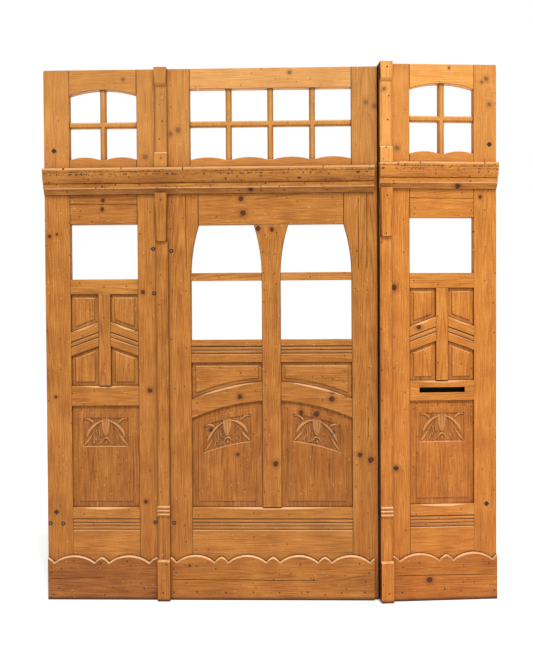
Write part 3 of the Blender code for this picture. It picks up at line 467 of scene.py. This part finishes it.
def crack(shape, x0, z0, x1, z1, seed):
    """A crack along the grain in a board's front: a narrow groove that wanders a little."""
    along = Vector((x1 - x0, 0.0, z1 - z0))
    length = along.length
    along.normalize()
    side = Vector((along.z, 0.0, -along.x))
    start = Vector((x0, 0.0, z0))
    front = min(corner.co.y for corner in shape.verts)
    for off in (-CRACK_HALF, 0.0, CRACK_HALF):
        cut(shape, start + side * off, side)
    count = max(3, round(length / CRACK_STATION))
    for i in range(count + 1):
        cut(shape, start + along * length * i / count, along)
    grime_and_shade = shape.faces.layers.float["grime_and_shade"]
    chance = random.Random(seed)
    wander = [chance.uniform(-CRACK_WANDER, CRACK_WANDER) for _ in range(count + 1)]
    for corner in shape.verts:
        gap = corner.co - start
        station, off = gap.dot(along) / length * count, gap.dot(side)
        outside = abs(off) > CRACK_HALF * 1.01 or not 0.01 < station < count - 0.01
        if outside or corner.co.y > front + CRACK_REACH:
            continue
        corner.co += side * wander[round(station)]
        if abs(off) < CRACK_HALF * 0.1:
            corner.co.y += CRACK_DEEP
    # The crack's walls are darkened: painted shade in the groove, with dirt.
    for face in shape.faces:
        if abs(face.normal.y) < SQUARE_ON and face.calc_center_median().y < front + CRACK_DEEP:
            gap = face.calc_center_median() - start
            if abs(gap.dot(side)) < CRACK_HALF * 2 and 0 < gap.dot(along) < length:
                face[grime_and_shade] = CRACK_GRIME_AND_SHADE


def finish_piece(name, shape, nodes, material, rolled=False):
    """Puts a shape in place as the piece for some nodes. Its broad faces are flat, unless rolled."""
    bmesh.ops.transform(shape, matrix=section_of(nodes[0]), verts=shape.verts)
    bmesh.ops.recalc_face_normals(shape, faces=shape.faces)
    for face in shape.faces:
        longest = max(edge.calc_length() for edge in face.edges)
        face.smooth = rolled or face.calc_area() < BROAD * longest
    for edge in shape.edges:
        edge.smooth = edge.calc_face_angle(0.0) < CREASE
    mesh = bpy.data.meshes.new(name)
    shape.to_mesh(mesh)
    shape.free()
    if "custom_normal" in mesh.attributes:
        mesh.attributes.remove(mesh.attributes["custom_normal"])
    mesh.materials.append(material)
    piece = bpy.data.objects.new(name, mesh)
    bpy.context.collection.objects.link(piece)
    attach(piece, "root")
    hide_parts(*nodes)


def round_corner(shape, way):
    """Rounds a board's outer top corner, worn by handling."""
    top = max(corner.co.z for corner in shape.verts)
    outer = max(way * corner.co.x for corner in shape.verts)
    edges = [
        edge for edge in shape.edges
        if all(corner.co.z > top - 0.001 and way * corner.co.x > outer - 0.001 for corner in edge.verts)
    ]
    bmesh.ops.bevel(shape, geom=edges, offset=WORN_CORNER, offset_type="OFFSET", segments=4, profile=0.5,
                    affect="EDGES")


def blacken_side(shape):
    """Paints the side that faces the other section nearly black: painted shade in the gap, with dirt."""
    grime_and_shade = shape.faces.layers.float["grime_and_shade"]
    nearest = min(corner.co.x for corner in shape.verts)
    for face in shape.faces:
        if face.normal.x < -SQUARE_ON and face.calc_center_median().x < nearest + GAP_SIDE:
            face[grime_and_shade] = GAP_SHADE_AND_GRIME


def worn_piece(node, seed, arris=ARRIS, lies=None, lean=0.0, worn_and_lit=0.35, dirt_and_shade_below=0.6, shade_and_dirt=1.0):
    """A board and its cracks: how pale its upper slants (wear and painted highlight), how dark the lower
    (painted shade and dirt), and how much painted shade and dirt its joints hold.
    """
    shape = clean_copy(node)
    if node in WORN_CORNERS:
        round_corner(shape, WORN_CORNERS[node])
    shape.normal_update()
    rub_arrises(shape, arris, worn_and_lit, dirt_and_shade_below)
    if node in BESIDE_GAP:
        blacken_side(shape)
    for i, ends in enumerate(CRACKS.get(node, ())):
        shape.normal_update()
        crack(shape, *ends, seed * 10 + i)
        shape.normal_update()
    if node == "right_lock_rail":
        blacken_slot(shape)
    finish_piece(f"{node}_worn", shape, [node], board_material(node, seed, lies, lean, shade_and_dirt))


def blacken_slot(shape):
    """Paints the walls of the letter slot nearly black: painted shade in the deep slot, with dirt."""
    grime_and_shade = shape.faces.layers.float["grime_and_shade"]
    low, high = extent("right_lock_rail")
    for face in shape.faces:
        place = face.calc_center_median()
        across = low[0] + SLOT_ASIDE < place.x < high[0] - SLOT_ASIDE
        upward = low[2] + SLOT_ABOVE < place.z < high[2] - SLOT_ABOVE
        if across and upward and abs(face.normal.y) < SLOT_WALL and place.y > SLOT_BEHIND:
            face[grime_and_shade] = SLOT_SHADE_AND_GRIME


SIDE_FRAMING = ("outer_stile", "inner_stile", "top_rail", "transom_board", "window_rail", "muntin")
CENTRE_FRAMING = (
    "centre_left_stile", "centre_right_stile", "centre_middle_stile", "centre_top_rail",
    "centre_transom_board", "centre_left_window_bar", "centre_right_window_bar",
)
MOULDED = (
    "left_lock_rail", "right_lock_rail", "left_bottom_rail", "centre_bottom_rail", "right_bottom_rail",
    "centre_left_reeded_rail", "centre_right_reeded_rail", "centre_left_arched_rail",
    "centre_right_arched_rail",
)
framing = [f"{bay}_{part}" for bay in ("left", "right") for part in SIDE_FRAMING]
for seed, node in enumerate([*framing, *CENTRE_FRAMING]):
    worn_piece(node, seed)
for seed, node in enumerate(MOULDED):
    worn_piece(node, 25 + seed, FINE_ARRIS, worn_and_lit=0.45)

# The slanted rails rise to the muntin, so their grain and their bead run with the slope.
for bay in ("left", "right"):
    for seed, (side, lean) in enumerate((("left", SLANT), ("right", -SLANT))):
        worn_piece(f"{bay}_{side}_slanted_rail", 40 + seed, FINE_ARRIS, lean=lean, worn_and_lit=0.55)

# Fanlight bars: slender pine bars with moulded front edges, halved together where they cross.
for seed, bay in enumerate(("left", "centre", "right")):
    worn_piece(f"{bay}_fanlight_bars", 50 + seed, FINE_ARRIS, lies="upright", dirt_and_shade_below=0.3)

# Fielded panels: quarter sawn pine, planed to a raised field with a sloping margin.
small_panels = [f"{bay}_{side}_{row}_panel" for bay in ("left", "right") for side in ("left", "right")
                for row in ("upper", "lower")]
for seed, node in enumerate(small_panels):
    worn_piece(node, 60 + seed, FINE_ARRIS, lies="upright", dirt_and_shade_below=0.3, shade_and_dirt=0.7)
for seed, side in enumerate(("left", "right")):
    worn_piece(f"centre_{side}_small_panel", 70 + seed, FINE_ARRIS, dirt_and_shade_below=0.3, shade_and_dirt=0.7)

# Cornices: run in the solid from pine. Woodworm has left a line of pits and chips along the ovolo and
# under the fillet, darkened by painted shade and dirt, and the fillet is rubbed pale, partly a painted
# highlight, as is the foot of the band.
STATION = 0.0055
LAYER = 0.005
PIT_DEEP = 0.0045
PIT_BELOW_TOP = 0.034
PIT_TALL = 0.008
PIT_SHADE_AND_GRIME = 0.85
PIT_MARKED = 0.4
PIT_SHALLOW = 0.12
PIT_DARK_SHARE = 0.6
LINE_ODDS, BUSY_ODDS, OTHER_ODDS = 0.10, 0.62, 0.02
BUSY_STEP = 0.30
END_CLEAR = 0.002
PROUD = 0.010
FILLET = 0.018
FILLET_RUBBED_AND_LIT = 0.55
BAND_FOOT = 0.104
for seed, node in enumerate(("main_cornice", "right_cornice")):
    shape = clean_copy(node)
    low, high = extent(node)
    for i in range(1, int((high[0] - low[0]) / STATION)):
        cut(shape, (low[0] + i * STATION, 0, 0), (1, 0, 0))
    for i in range(1, int((high[2] - low[2]) / LAYER)):
        cut(shape, (0, 0, low[2] + i * LAYER), (0, 0, 1))
    chance = random.Random(700 + seed)
    busy = 0.0
    pits = {}
    for station in range(int((high[0] - low[0]) / STATION) + 2):
        busy = min(1.0, max(0.0, busy + chance.uniform(-BUSY_STEP, BUSY_STEP)))
        for layer in range(int((high[2] - low[2]) / LAYER) + 2):
            below = high[2] - low[2] - layer * LAYER
            line = abs(below - PIT_BELOW_TOP) < PIT_TALL / 2 or abs(below - FILLET) < LAYER * 0.6
            odds = LINE_ODDS + BUSY_ODDS * busy if line else OTHER_ODDS
            least, most = (PIT_MARKED, 1.0) if chance.random() < odds else (0.0, PIT_SHALLOW)
            pits[station, layer] = chance.uniform(least, most)
    for corner in shape.verts:
        if low[0] + END_CLEAR < corner.co.x < high[0] - END_CLEAR and corner.co.y < -PROUD:
            key = round((corner.co.x - low[0]) / STATION), round((corner.co.z - low[2]) / LAYER)
            corner.co.y += PIT_DEEP * pits[key]
    rubbed_and_highlit, grime_and_shade = shape.faces.layers.float["rubbed_and_highlit"], shape.faces.layers.float["grime_and_shade"]
    for face in shape.faces:
        place = face.calc_center_median()
        key = round((place.x - low[0]) / STATION), round((place.z - low[2]) / LAYER)
        if place.y < -PROUD:
            dark = pits.get(key, 0.0) > PIT_MARKED and chance.random() < PIT_DARK_SHARE
            face[grime_and_shade] = PIT_SHADE_AND_GRIME if dark else 0.0
            below = high[2] - place.z
            edge = below < LAYER or BAND_FOOT - LAYER < below < BAND_FOOT
            face[rubbed_and_highlit] = FILLET_RUBBED_AND_LIT if edge and not face[grime_and_shade] else 0.0
    finish_piece(f"{node}_worn", shape, [node], board_material(node, 80 + seed, shade_and_dirt=0.3), rolled=True)

# Pilasters: squared pine laths planted on, with cut blocks for caps and feet and a bracket each.
for seed, name in enumerate(("main_upper", "main_lower", "right_upper", "right_lower")):
    worn_piece(f"{name}_pilaster", 90 + seed, FINE_ARRIS, lies="upright", worn_and_lit=0.6, dirt_and_shade_below=0.0)

# Kick boards: nailed on over the foot of the framing, sawn to arches and small peaks along the top,
# with that edge rounded over. Each is split or joined along its middle.
for seed, bay in enumerate(("left", "centre", "right")):
    worn_piece(f"{bay}_kick_board", 100 + seed, worn_and_lit=0.6)

# Carved panels: fielded pine with a frame sunk into the field. In it two bent stems rise to the top
# and meet over a bud; leaves fill the corners and the ground between. The cuts are a gouge deep.
PANEL_EDGE = 0.012
PANEL_BEVEL = 0.009
PANEL_STEP = 0.003
TALL_MARGIN = 0.035
FIELD_CLEAR = 0.0003
CARVING_WIDE, CARVING_TALL = 0.236, 0.151
CARVING_CENTRE_WIDE, CARVING_CENTRE_TALL = 0.247, 0.144
CARVING_BELOW_FIELD = 0.027
CARVING_DEPTH = 0.0060
CARVING_WALL = 0.0055
CARVING_COLUMNS = 260
CARVING_ASPECT = 0.61
BUD_MIDDLE, BUD_HALF = 0.497, 0.100
BUD_FOOT, BUD_TOP, BUD_TALL = 0.33, 0.93, 0.60
RELIEF_LEAST, RELIEF_MOST = -0.1, 1.05
TOOL_MARKS = 0.00005
# Ridges get a painted highlight with wear, the low ground painted shade with dirt, and the sunk frame's
# bottom ledge a painted highlight.
RUBBED_LIT_FROM, RUBBED_LIT_RATE, RUBBED_LIT_MOST = 0.45, 0.8, 0.28
GROUND_BELOW, GROUND_SHADE_AND_GRIME = 0.30, 0.5
LEDGE_ROWS, LEDGE_HIGHLIGHT = 2, 0.6
FIELD_EDGE_RUBBED = 0.25


def smooth_curve(points, count=40):
    """Points of a smooth curve through a few."""
    rough = np.array(points, float)
    reach = np.concatenate([[0.0], np.cumsum(np.hypot(*np.diff(rough, axis=0).T))])
    places = np.linspace(0, reach[-1], count)
    path = np.stack([np.interp(places, reach, rough[:, i]) for i in range(2)], 1)
    for _ in range(5):
        path[1:-1] = (path[:-2] + 2 * path[1:-1] + path[2:]) / 4
    return path


def along_curve(u, v, points):
    """For each place: how far it is from a curve, on which side, and its share of the way along."""
    path = smooth_curve(points) * (1.0, CARVING_ASPECT)
    flat = np.stack([u.ravel(), v.ravel() * CARVING_ASPECT], 1)
    best = np.full(len(flat), 9.0)
    side, share = np.zeros(len(flat)), np.zeros(len(flat))
    for i in range(len(path) - 1):
        step = path[i + 1] - path[i]
        t = np.clip(((flat - path[i]) @ step) / max(float(step @ step), 1e-12), 0, 1)
        gap = flat - path[i] - t[:, None] * step
        far = np.hypot(gap[:, 0], gap[:, 1])
        closer = far < best
        best = np.where(closer, far, best)
        side = np.where(closer, np.sign(step[0] * gap[:, 1] - step[1] * gap[:, 0]), side)
        share = np.where(closer, (i + t) / (len(path) - 1), share)
    return best.reshape(u.shape), side.reshape(u.shape), share.reshape(u.shape)


def leaf(u, v, points, wide, form="round", ends=(0.15, 0.0)):
    """The height of a leaf or stem laid along a curve: round, or with one side high. wide is its half."""
    far, side, share = along_curve(u, v, points)
    swell = np.sin(np.pi * np.clip(share, 0, 1)) ** 0.6
    floor_swell = ends[0] + (ends[1] - ends[0]) * share
    t = far / (wide * np.maximum(np.maximum(swell, floor_swell), 0.02))
    if form == "round":
        high = np.sqrt(np.clip(1 - t * t, 0, 1))
    else:
        lean = (1 + (side if form == "left_high" else -side) * t) / 2
        high = (0.22 + 0.78 * lean ** 1.3) * np.clip((1 - t) * 6, 0, 1)
    return np.where(t < 1.0, high, 0.0)


def mirror(points):
    return [(1 - x, z) for x, z in points]


def bud(u, v):
    """The bud: three long petals side by side that meet in a point at the foot."""
    down = np.clip((BUD_TOP - v) / BUD_TALL, 0, 1)
    half_bud = BUD_HALF * (1 - down ** 2.6) ** 0.75 + 0.001
    off = np.abs(u - BUD_MIDDLE) / half_bud
    petals = 0.48 + 0.32 * np.abs(np.cos(np.pi * off * 1.5)) ** 1.3
    inside = (off < 1.0) & (v < BUD_TOP) & (v > BUD_FOOT)
    return np.where(inside, petals * np.clip((1 - off) * 5, 0, 1), 0.0)


def carving(u, v):
    """The ornament's height over its ground, 0 to 1, at places across and up the frame."""
    crescent = [(0.590, 0.87), (0.68, 0.81), (0.765, 0.715), (0.845, 0.58), (0.895, 0.45), (0.925, 0.31)]
    blade = [(0.79, 0.42), (0.86, 0.26), (0.93, 0.12), (0.995, 0.01)]
    corner = [(0.985, 0.93), (0.93, 0.965), (0.86, 0.94), (0.80, 0.86), (0.765, 0.78)]
    fold = [(0.645, 0.74), (0.72, 0.62), (0.785, 0.46), (0.815, 0.34)]
    foot = [(0.52, 0.20), (0.60, 0.16), (0.70, 0.045)]
    forms = [bud(u, v)]
    for flip in (False, True):
        turn = mirror if flip else list
        outer = "right_high" if flip else "left_high"
        forms.append(leaf(u, v, turn(crescent), 0.036, ends=(0.45, 0.25)))
        forms.append(0.95 * leaf(u, v, turn(blade), 0.026, ends=(0.3, 0.25)))
        forms.append(0.90 * leaf(u, v, turn(corner), 0.024, ends=(0.2, 0.4)))
        forms.append(0.72 * leaf(u, v, turn(fold), 0.024, outer, ends=(0.4, 0.4)))
        forms.append(0.85 * leaf(u, v, turn(foot), 0.024, outer, ends=(0.5, 0.2)))
    for x in (0.430, 0.472, 0.514, 0.556):
        strand = [(x + 0.024, 0.885), (x, 0.95), (x - 0.018, 0.985)]
        forms.append(leaf(u, v, strand, 0.016, ends=(0.9, 0.9)))

    # Wavy leaves and curls fill the left side, and long folded leaves the right.
    for i in range(3):
        start = 0.360 - 0.050 * i
        wavy = [(start - 0.005 * t - 0.013 * math.sin(t * 1.9 + i), 0.70 - 0.13 * i - 0.10 * t)
                for t in range(5)]
        forms.append(0.78 * leaf(u, v, wavy, 0.016, ends=(0.6, 0.5)))
    curls = ((0.300, 0.52, 0.030), (0.310, 0.27, 0.036), (0.385, 0.36, 0.026), (0.240, 0.14, 0.028),
             (0.400, 0.12, 0.026), (0.665, 0.17, 0.026))
    for x, z, size in curls:
        off = np.hypot(u - x, (v - z) * CARVING_ASPECT) / size
        forms.append(0.82 * np.clip(1 - ((off - 0.70) / 0.34) ** 2, 0, 1))
    for points in ([(0.655, 0.62), (0.69, 0.46), (0.74, 0.28), (0.83, 0.05)],
                   [(0.635, 0.42), (0.67, 0.28), (0.74, 0.05)]):
        forms.append(0.78 * leaf(u, v, points, 0.022, "left_high", ends=(0.4, 0.5)))
    arch = [(0.425, 0.19), (0.455, 0.27), (0.50, 0.305), (0.545, 0.27), (0.575, 0.19)]
    forms.append(0.92 * leaf(u, v, arch, 0.020, ends=(0.7, 0.7)))
    bead = np.hypot((u - 0.505) / 0.026, (v - 0.14) / 0.055)
    forms.append(np.sqrt(np.clip(1 - bead ** 2, 0, 1)))
    gouge = 0.07 * np.sin(u * 90 + 4 * np.sin(v * 17)) * np.sin(v * 60 + 3 * np.sin(u * 23))
    return np.maximum.reduce(forms) + gouge


def inset(outline, distance):
    """An outline moved inwards, each corner along its two edges. Corners run anticlockwise."""
    moved = []
    for i, (bx, bz) in enumerate(outline):
        (ax, az), (cx, cz) = outline[i - 1], outline[(i + 1) % len(outline)]
        before, after = Vector((bx - ax, bz - az)).normalized(), Vector((cx - bx, cz - bz)).normalized()
        out = Vector((-before.y - after.y, before.x + after.x))
        out = out * (2 * distance / out.length_squared)
        moved.append((bx + out.x, bz + out.y))
    return moved


def carve_panel(node, outline, wide, tall, frame_top, middle, seed):
    """A fielded panel with its carved frame: margins from the outline, the frame as a fine relief."""
    low, high = extent(node)
    field, back = low[1], high[1]
    shape = bmesh.new()
    rubbed_and_highlit = shape.faces.layers.float.new("rubbed_and_highlit")
    grime_and_shade = shape.faces.layers.float.new("grime_and_shade")
    rings = []
    for drawn_in, deep in ((FIELD_CLEAR, back), (FIELD_CLEAR, PANEL_EDGE),
                           (TALL_MARGIN - PANEL_STEP, PANEL_BEVEL), (TALL_MARGIN, field),
                           (TALL_MARGIN + ARRIS / 2, field)):
        rings.append([shape.verts.new((x, deep, z)) for x, z in inset(outline, drawn_in)])
    for near, far in zip(rings, rings[1:]):
        for i, corner in enumerate(near):
            after = (i + 1) % len(near)
            face = shape.faces.new((corner, near[after], far[after], far[i]))
            face[rubbed_and_highlit] = FIELD_EDGE_RUBBED if far is rings[-1] else 0.0
    shape.faces.new(rings[0])
    rows = int(CARVING_COLUMNS * tall / wide)
    u, v = np.meshgrid(np.linspace(0, 1, CARVING_COLUMNS), np.linspace(0, 1, rows))
    relief = np.clip(carving(u, v), RELIEF_LEAST, RELIEF_MOST)
    wall = np.clip(np.minimum(np.minimum(u, 1 - u) * wide, np.minimum(v, 1 - v) * tall) / CARVING_WALL, 0, 1)
    chance = np.random.default_rng(seed)
    sunk = (CARVING_DEPTH * (1 - relief) + chance.normal(0, TOOL_MARKS, relief.shape)) * wall
    left = middle - wide / 2
    grid = []
    for row in range(rows):
        line = []
        for column in range(CARVING_COLUMNS):
            x = left + wide * float(u[row, column])
            z = frame_top(x) - tall * (1 - float(v[row, column]))
            line.append(shape.verts.new((x, field + float(sunk[row, column]), z)))
        grid.append(line)
    for row, (below, above) in enumerate(zip(grid, grid[1:])):
        for i in range(CARVING_COLUMNS - 1):
            face = shape.faces.new((below[i], below[i + 1], above[i + 1], above[i]))
            # Painted highlight on high ridges and painted shade on the low ground, with wear and dirt; the
            # bottom ledge gets a painted highlight.
            if wall[row, i] == 1:
                stands = float(relief[row, i])
                face[rubbed_and_highlit] = min(RUBBED_LIT_MOST, max(0.0, stands - RUBBED_LIT_FROM) * RUBBED_LIT_RATE)
                face[grime_and_shade] = max(0.0, GROUND_BELOW - stands) * GROUND_SHADE_AND_GRIME
            elif row < LEDGE_ROWS:
                face[rubbed_and_highlit] = LEDGE_HIGHLIGHT
    border = [*grid[0], *(row[-1] for row in grid[1:]), *reversed(grid[-1][:-1])]
    border += [row[0] for row in reversed(grid[1:-1])]
    loops = []
    for loop in (rings[-1], border):
        for i, corner in enumerate(loop):
            after = loop[(i + 1) % len(loop)]
            loops.append(shape.edges.get((corner, after)) or shape.edges.new((corner, after)))
    bmesh.ops.triangle_fill(shape, edges=loops, use_beauty=True)
    finish_piece(f"{node}_carved", shape, [node], board_material(node, seed, lies="upright", shade_and_dirt=0.3))


for seed, bay in enumerate(("left", "right")):
    node = f"{bay}_carved_panel"
    low, high = extent(node)
    x0, z0 = low[0] - FIELD_CLEAR, low[2] - FIELD_CLEAR
    x1, z1 = high[0] + FIELD_CLEAR, high[2] + FIELD_CLEAR
    top = z1 - TALL_MARGIN - CARVING_BELOW_FIELD
    carve_panel(node, [(x0, z0), (x1, z0), (x1, z1), (x0, z1)], CARVING_WIDE, CARVING_TALL,
                lambda x: top, (x0 + x1) / 2, 110 + seed)

# The centre panels' heads follow the arched rails above them, one arc about the middle stile.
ARCH_RADIUS = 0.982
ARCH_TALL = 0.097
ARCH_STEPS = 8
stile_low, stile_high = extent("centre_middle_stile")
arch_axis = (stile_low[0] + stile_high[0]) / 2
rail_high = extent("centre_left_arched_rail")[1]
crown_off = rail_high[0] - arch_axis
arch_centre = rail_high[2] - math.sqrt(ARCH_RADIUS ** 2 - crown_off ** 2)


def under_arch(x):
    return arch_centre - ARCH_TALL + math.sqrt(ARCH_RADIUS ** 2 - (x - arch_axis) ** 2)


for seed, side in enumerate(("left", "right")):
    node = f"centre_{side}_carved_panel"
    low, high = extent(node)
    x0, x1, z0 = low[0] - FIELD_CLEAR, high[0] + FIELD_CLEAR, low[2] - FIELD_CLEAR
    head = [x1 + (x0 - x1) * i / ARCH_STEPS for i in range(ARCH_STEPS + 1)]
    carve_panel(node, [(x0, z0), (x1, z0), *((x, under_arch(x)) for x in head)], CARVING_CENTRE_WIDE,
                CARVING_CENTRE_TALL, lambda x: under_arch(x) - TALL_MARGIN - CARVING_BELOW_FIELD,
                (x0 + x1) / 2, 112 + seed)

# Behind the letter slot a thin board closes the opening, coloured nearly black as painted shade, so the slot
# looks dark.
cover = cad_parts["right_slot_cover"]
stain = bpy.data.materials.new("slot_shade_black")
stain.use_nodes = True
tree = stain.node_tree
here = add_node(tree, "ShaderNodeTexCoord").outputs["Object"]
mottle = add_node(tree, "ShaderNodeTexNoise", Vector=here, Scale=60.0, Detail=3.0).outputs["Fac"]
dark = add_node(tree, "ShaderNodeMix", {"data_type": "RGBA"}, in_0=mottle, in_6=linear("#0c0806"),
                in_7=linear("#1c120b"))
tree.links.new(dark.outputs[2], tree.nodes["Principled BSDF"].inputs["Base Color"])
tree.nodes["Principled BSDF"].inputs["Roughness"].default_value = 0.8
cover.data.materials.clear()
cover.data.materials.append(stain)

# Old pegs and plugs: square pegs set on point, and round plugs with a pale end in a dark ring.
PEG_HALF = 0.0145
PEGS = {
    "main": [(0.051, 2.310), (0.044, 0.451)],
    "right": [(0.569, 2.325), (0.553, 0.488)],
}
PLUG_DARK, PLUG_PALE = 0.0105, 0.0045
PLUGS = [(0.558, 1.804), (0.651, 1.794), (0.560, 1.577), (0.013, 0.393), (0.079, 0.391), (0.557, 0.398),
         (0.655, 0.395)]
PLUG_PROUD = 0.0006
PEG_SUNK = 0.002
PEG_TOP = 0.8


def plain(name, colour, rough=0.6):
    """A plain material with a fine mottle."""
    made = bpy.data.materials.new(name)
    made.use_nodes = True
    tree = made.node_tree
    here = add_node(tree, "ShaderNodeTexCoord").outputs["Object"]
    mottle = add_node(tree, "ShaderNodeTexNoise", Vector=here, Scale=300.0, Detail=2.0).outputs["Fac"]
    mixed = add_node(tree, "ShaderNodeMix", {"data_type": "RGBA", "blend_type": "MULTIPLY"}, in_0=mottle,
                     in_6=linear(colour), in_7=linear("#8a8a8a"))
    tree.links.new(mixed.outputs[2], tree.nodes["Principled BSDF"].inputs["Base Color"])
    tree.nodes["Principled BSDF"].inputs["Roughness"].default_value = rough
    return made


def pegs(name, section, places, sides, wide, proud, material):
    """Low pegs of so many sides on the face of the framing, as one piece."""
    shape = bmesh.new()
    for x, z in places:
        rings = []
        for out, size in ((PEG_SUNK, wide), (-proud * 0.5, wide), (-proud, wide * PEG_TOP)):
            angles = [2 * math.pi * i / sides for i in range(sides)]
            corners = [(x + size * math.cos(angle), out, z + size * math.sin(angle)) for angle in angles]
            rings.append([shape.verts.new(corner) for corner in corners])
        for near, far in zip(rings, rings[1:]):
            for i in range(sides):
                shape.faces.new((near[i], near[(i + 1) % sides], far[(i + 1) % sides], far[i]))
        shape.faces.new(rings[0])
        shape.faces.new(rings[-1])
    bmesh.ops.transform(shape, matrix=section, verts=shape.verts)
    bmesh.ops.recalc_face_normals(shape, faces=shape.faces)
    mesh = bpy.data.meshes.new(name)
    shape.to_mesh(mesh)
    shape.free()
    mesh.materials.append(material)
    piece = bpy.data.objects.new(name, mesh)
    bpy.context.collection.objects.link(piece)
    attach(piece, "root")


peg_wood = plain("dark_peg_wood", "#3a1e0c")
ring_wood = plain("dark_plug_ring", "#2a1709")
end_wood = plain("pale_plug_end", "#a87c50")
pegs("square_pegs_main", MAIN, PEGS["main"], 4, PEG_HALF, PLUG_PROUD, peg_wood)
pegs("square_pegs_right", RIGHT, PEGS["right"], 4, PEG_HALF, PLUG_PROUD, peg_wood)
pegs("plug_rings", MAIN, PLUGS, 16, PLUG_DARK, PLUG_PROUD, ring_wood)
pegs("plug_ends", MAIN, PLUGS, 12, PLUG_PALE, PLUG_PROUD * 2, end_wood)

# Cut nails hold the kick boards and the pilasters. Their heads are rust dark. A node tree sets one
# head on each nail's place.
NAIL_HALF = 0.0038
NAIL_PROUD = 0.0005
NAIL_SIDES = 8
AHEAD = 0.5
NAILS = {
    "left_kick_board": [(0.134, 0.200), (0.070, 0.161), (0.018, 0.165), (0.018, 0.142), (0.275, 0.190),
                        (0.058, 0.060), (0.294, 0.025), (0.412, 0.200), (0.500, 0.060)],
    "centre_kick_board": [(0.653, 0.040), (0.771, 0.042), (0.919, 0.039), (1.062, 0.041), (1.196, 0.040),
                          (1.339, 0.042), (1.513, 0.039), (1.631, 0.041), (0.653, 0.159), (0.771, 0.174),
                          (0.868, 0.161), (1.165, 0.107), (1.303, 0.184), (1.370, 0.107), (1.605, 0.190),
                          (1.654, 0.143), (1.636, 0.097)],
    "right_kick_board": [(0.110, 0.045), (0.115, 0.175), (0.200, 0.195), (0.330, 0.060), (0.560, 0.185),
                         (0.590, 0.045)],
    "main_lower_pilaster": [(0.604, 2.050), (0.600, 0.045), (0.620, 0.190)],
    "right_lower_pilaster": [(0.034, 2.060), (0.028, 1.870), (0.040, 0.050)],
    "right_upper_pilaster": [(0.036, 2.700), (0.046, 2.560), (0.040, 2.440), (0.030, 2.300)],
    "main_upper_pilaster": [(0.612, 2.450), (0.598, 2.360), (0.608, 2.262)],
}


def front_of(node, x, z):
    """A place on the front of a node, straight ahead of the given x and z."""
    section = section_of(node)
    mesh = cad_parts[node].data
    corners = [corner.co for corner in mesh.vertices]
    faces = BVHTree.FromPolygons(corners, [face.vertices for face in mesh.polygons])
    place = faces.ray_cast(section @ Vector((x, -AHEAD, z)), section.to_3x3() @ Vector((0, 1, 0)))[0]
    return (section.inverted() @ place).y if place else 0.0


places = []
for node, spots in NAILS.items():
    for x, z in spots:
        places.append(tuple(section_of(node) @ Vector((x, front_of(node, x, z), z))))
points = bpy.data.meshes.new("nail_places")
points.from_pydata(places, [], [])
nails = bpy.data.objects.new("nails", points)
bpy.context.collection.objects.link(nails)
tree = bpy.data.node_groups.new("nail_heads", "GeometryNodeTree")
tree.interface.new_socket("Geometry", in_out="INPUT", socket_type="NodeSocketGeometry")
half_socket = tree.interface.new_socket("Head half width", in_out="INPUT", socket_type="NodeSocketFloat")
proud_socket = tree.interface.new_socket("Head height", in_out="INPUT", socket_type="NodeSocketFloat")
tree.interface.new_socket("Geometry", in_out="OUTPUT", socket_type="NodeSocketGeometry")
entry = add_node(tree, "NodeGroupInput")
head = add_node(tree, "GeometryNodeMeshCylinder", Vertices=NAIL_SIDES, Radius=entry.outputs[1],
                Depth=entry.outputs[2])
spread = add_node(tree, "GeometryNodeInstanceOnPoints", Points=entry.outputs[0],
                  Instance=head.outputs["Mesh"], Rotation=(math.radians(90), 0, 0))
real = add_node(tree, "GeometryNodeRealizeInstances", Geometry=spread.outputs[0])
finish = add_node(tree, "GeometryNodeSetMaterial", Geometry=real.outputs[0],
                  Material=plain("rusty_iron_nail", "#2c1a10", 0.7))
add_node(tree, "NodeGroupOutput", in_0=finish.outputs[0])
maker = nails.modifiers.new("nail heads", "NODES")
maker.node_group = tree
maker[half_socket.identifier] = NAIL_HALF
maker[proud_socket.identifier] = NAIL_PROUD * 2
whole = bpy.data.meshes.new_from_object(nails.evaluated_get(bpy.context.evaluated_depsgraph_get()))
nails.modifiers.clear()
nails.data = whole
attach(nails, "root")
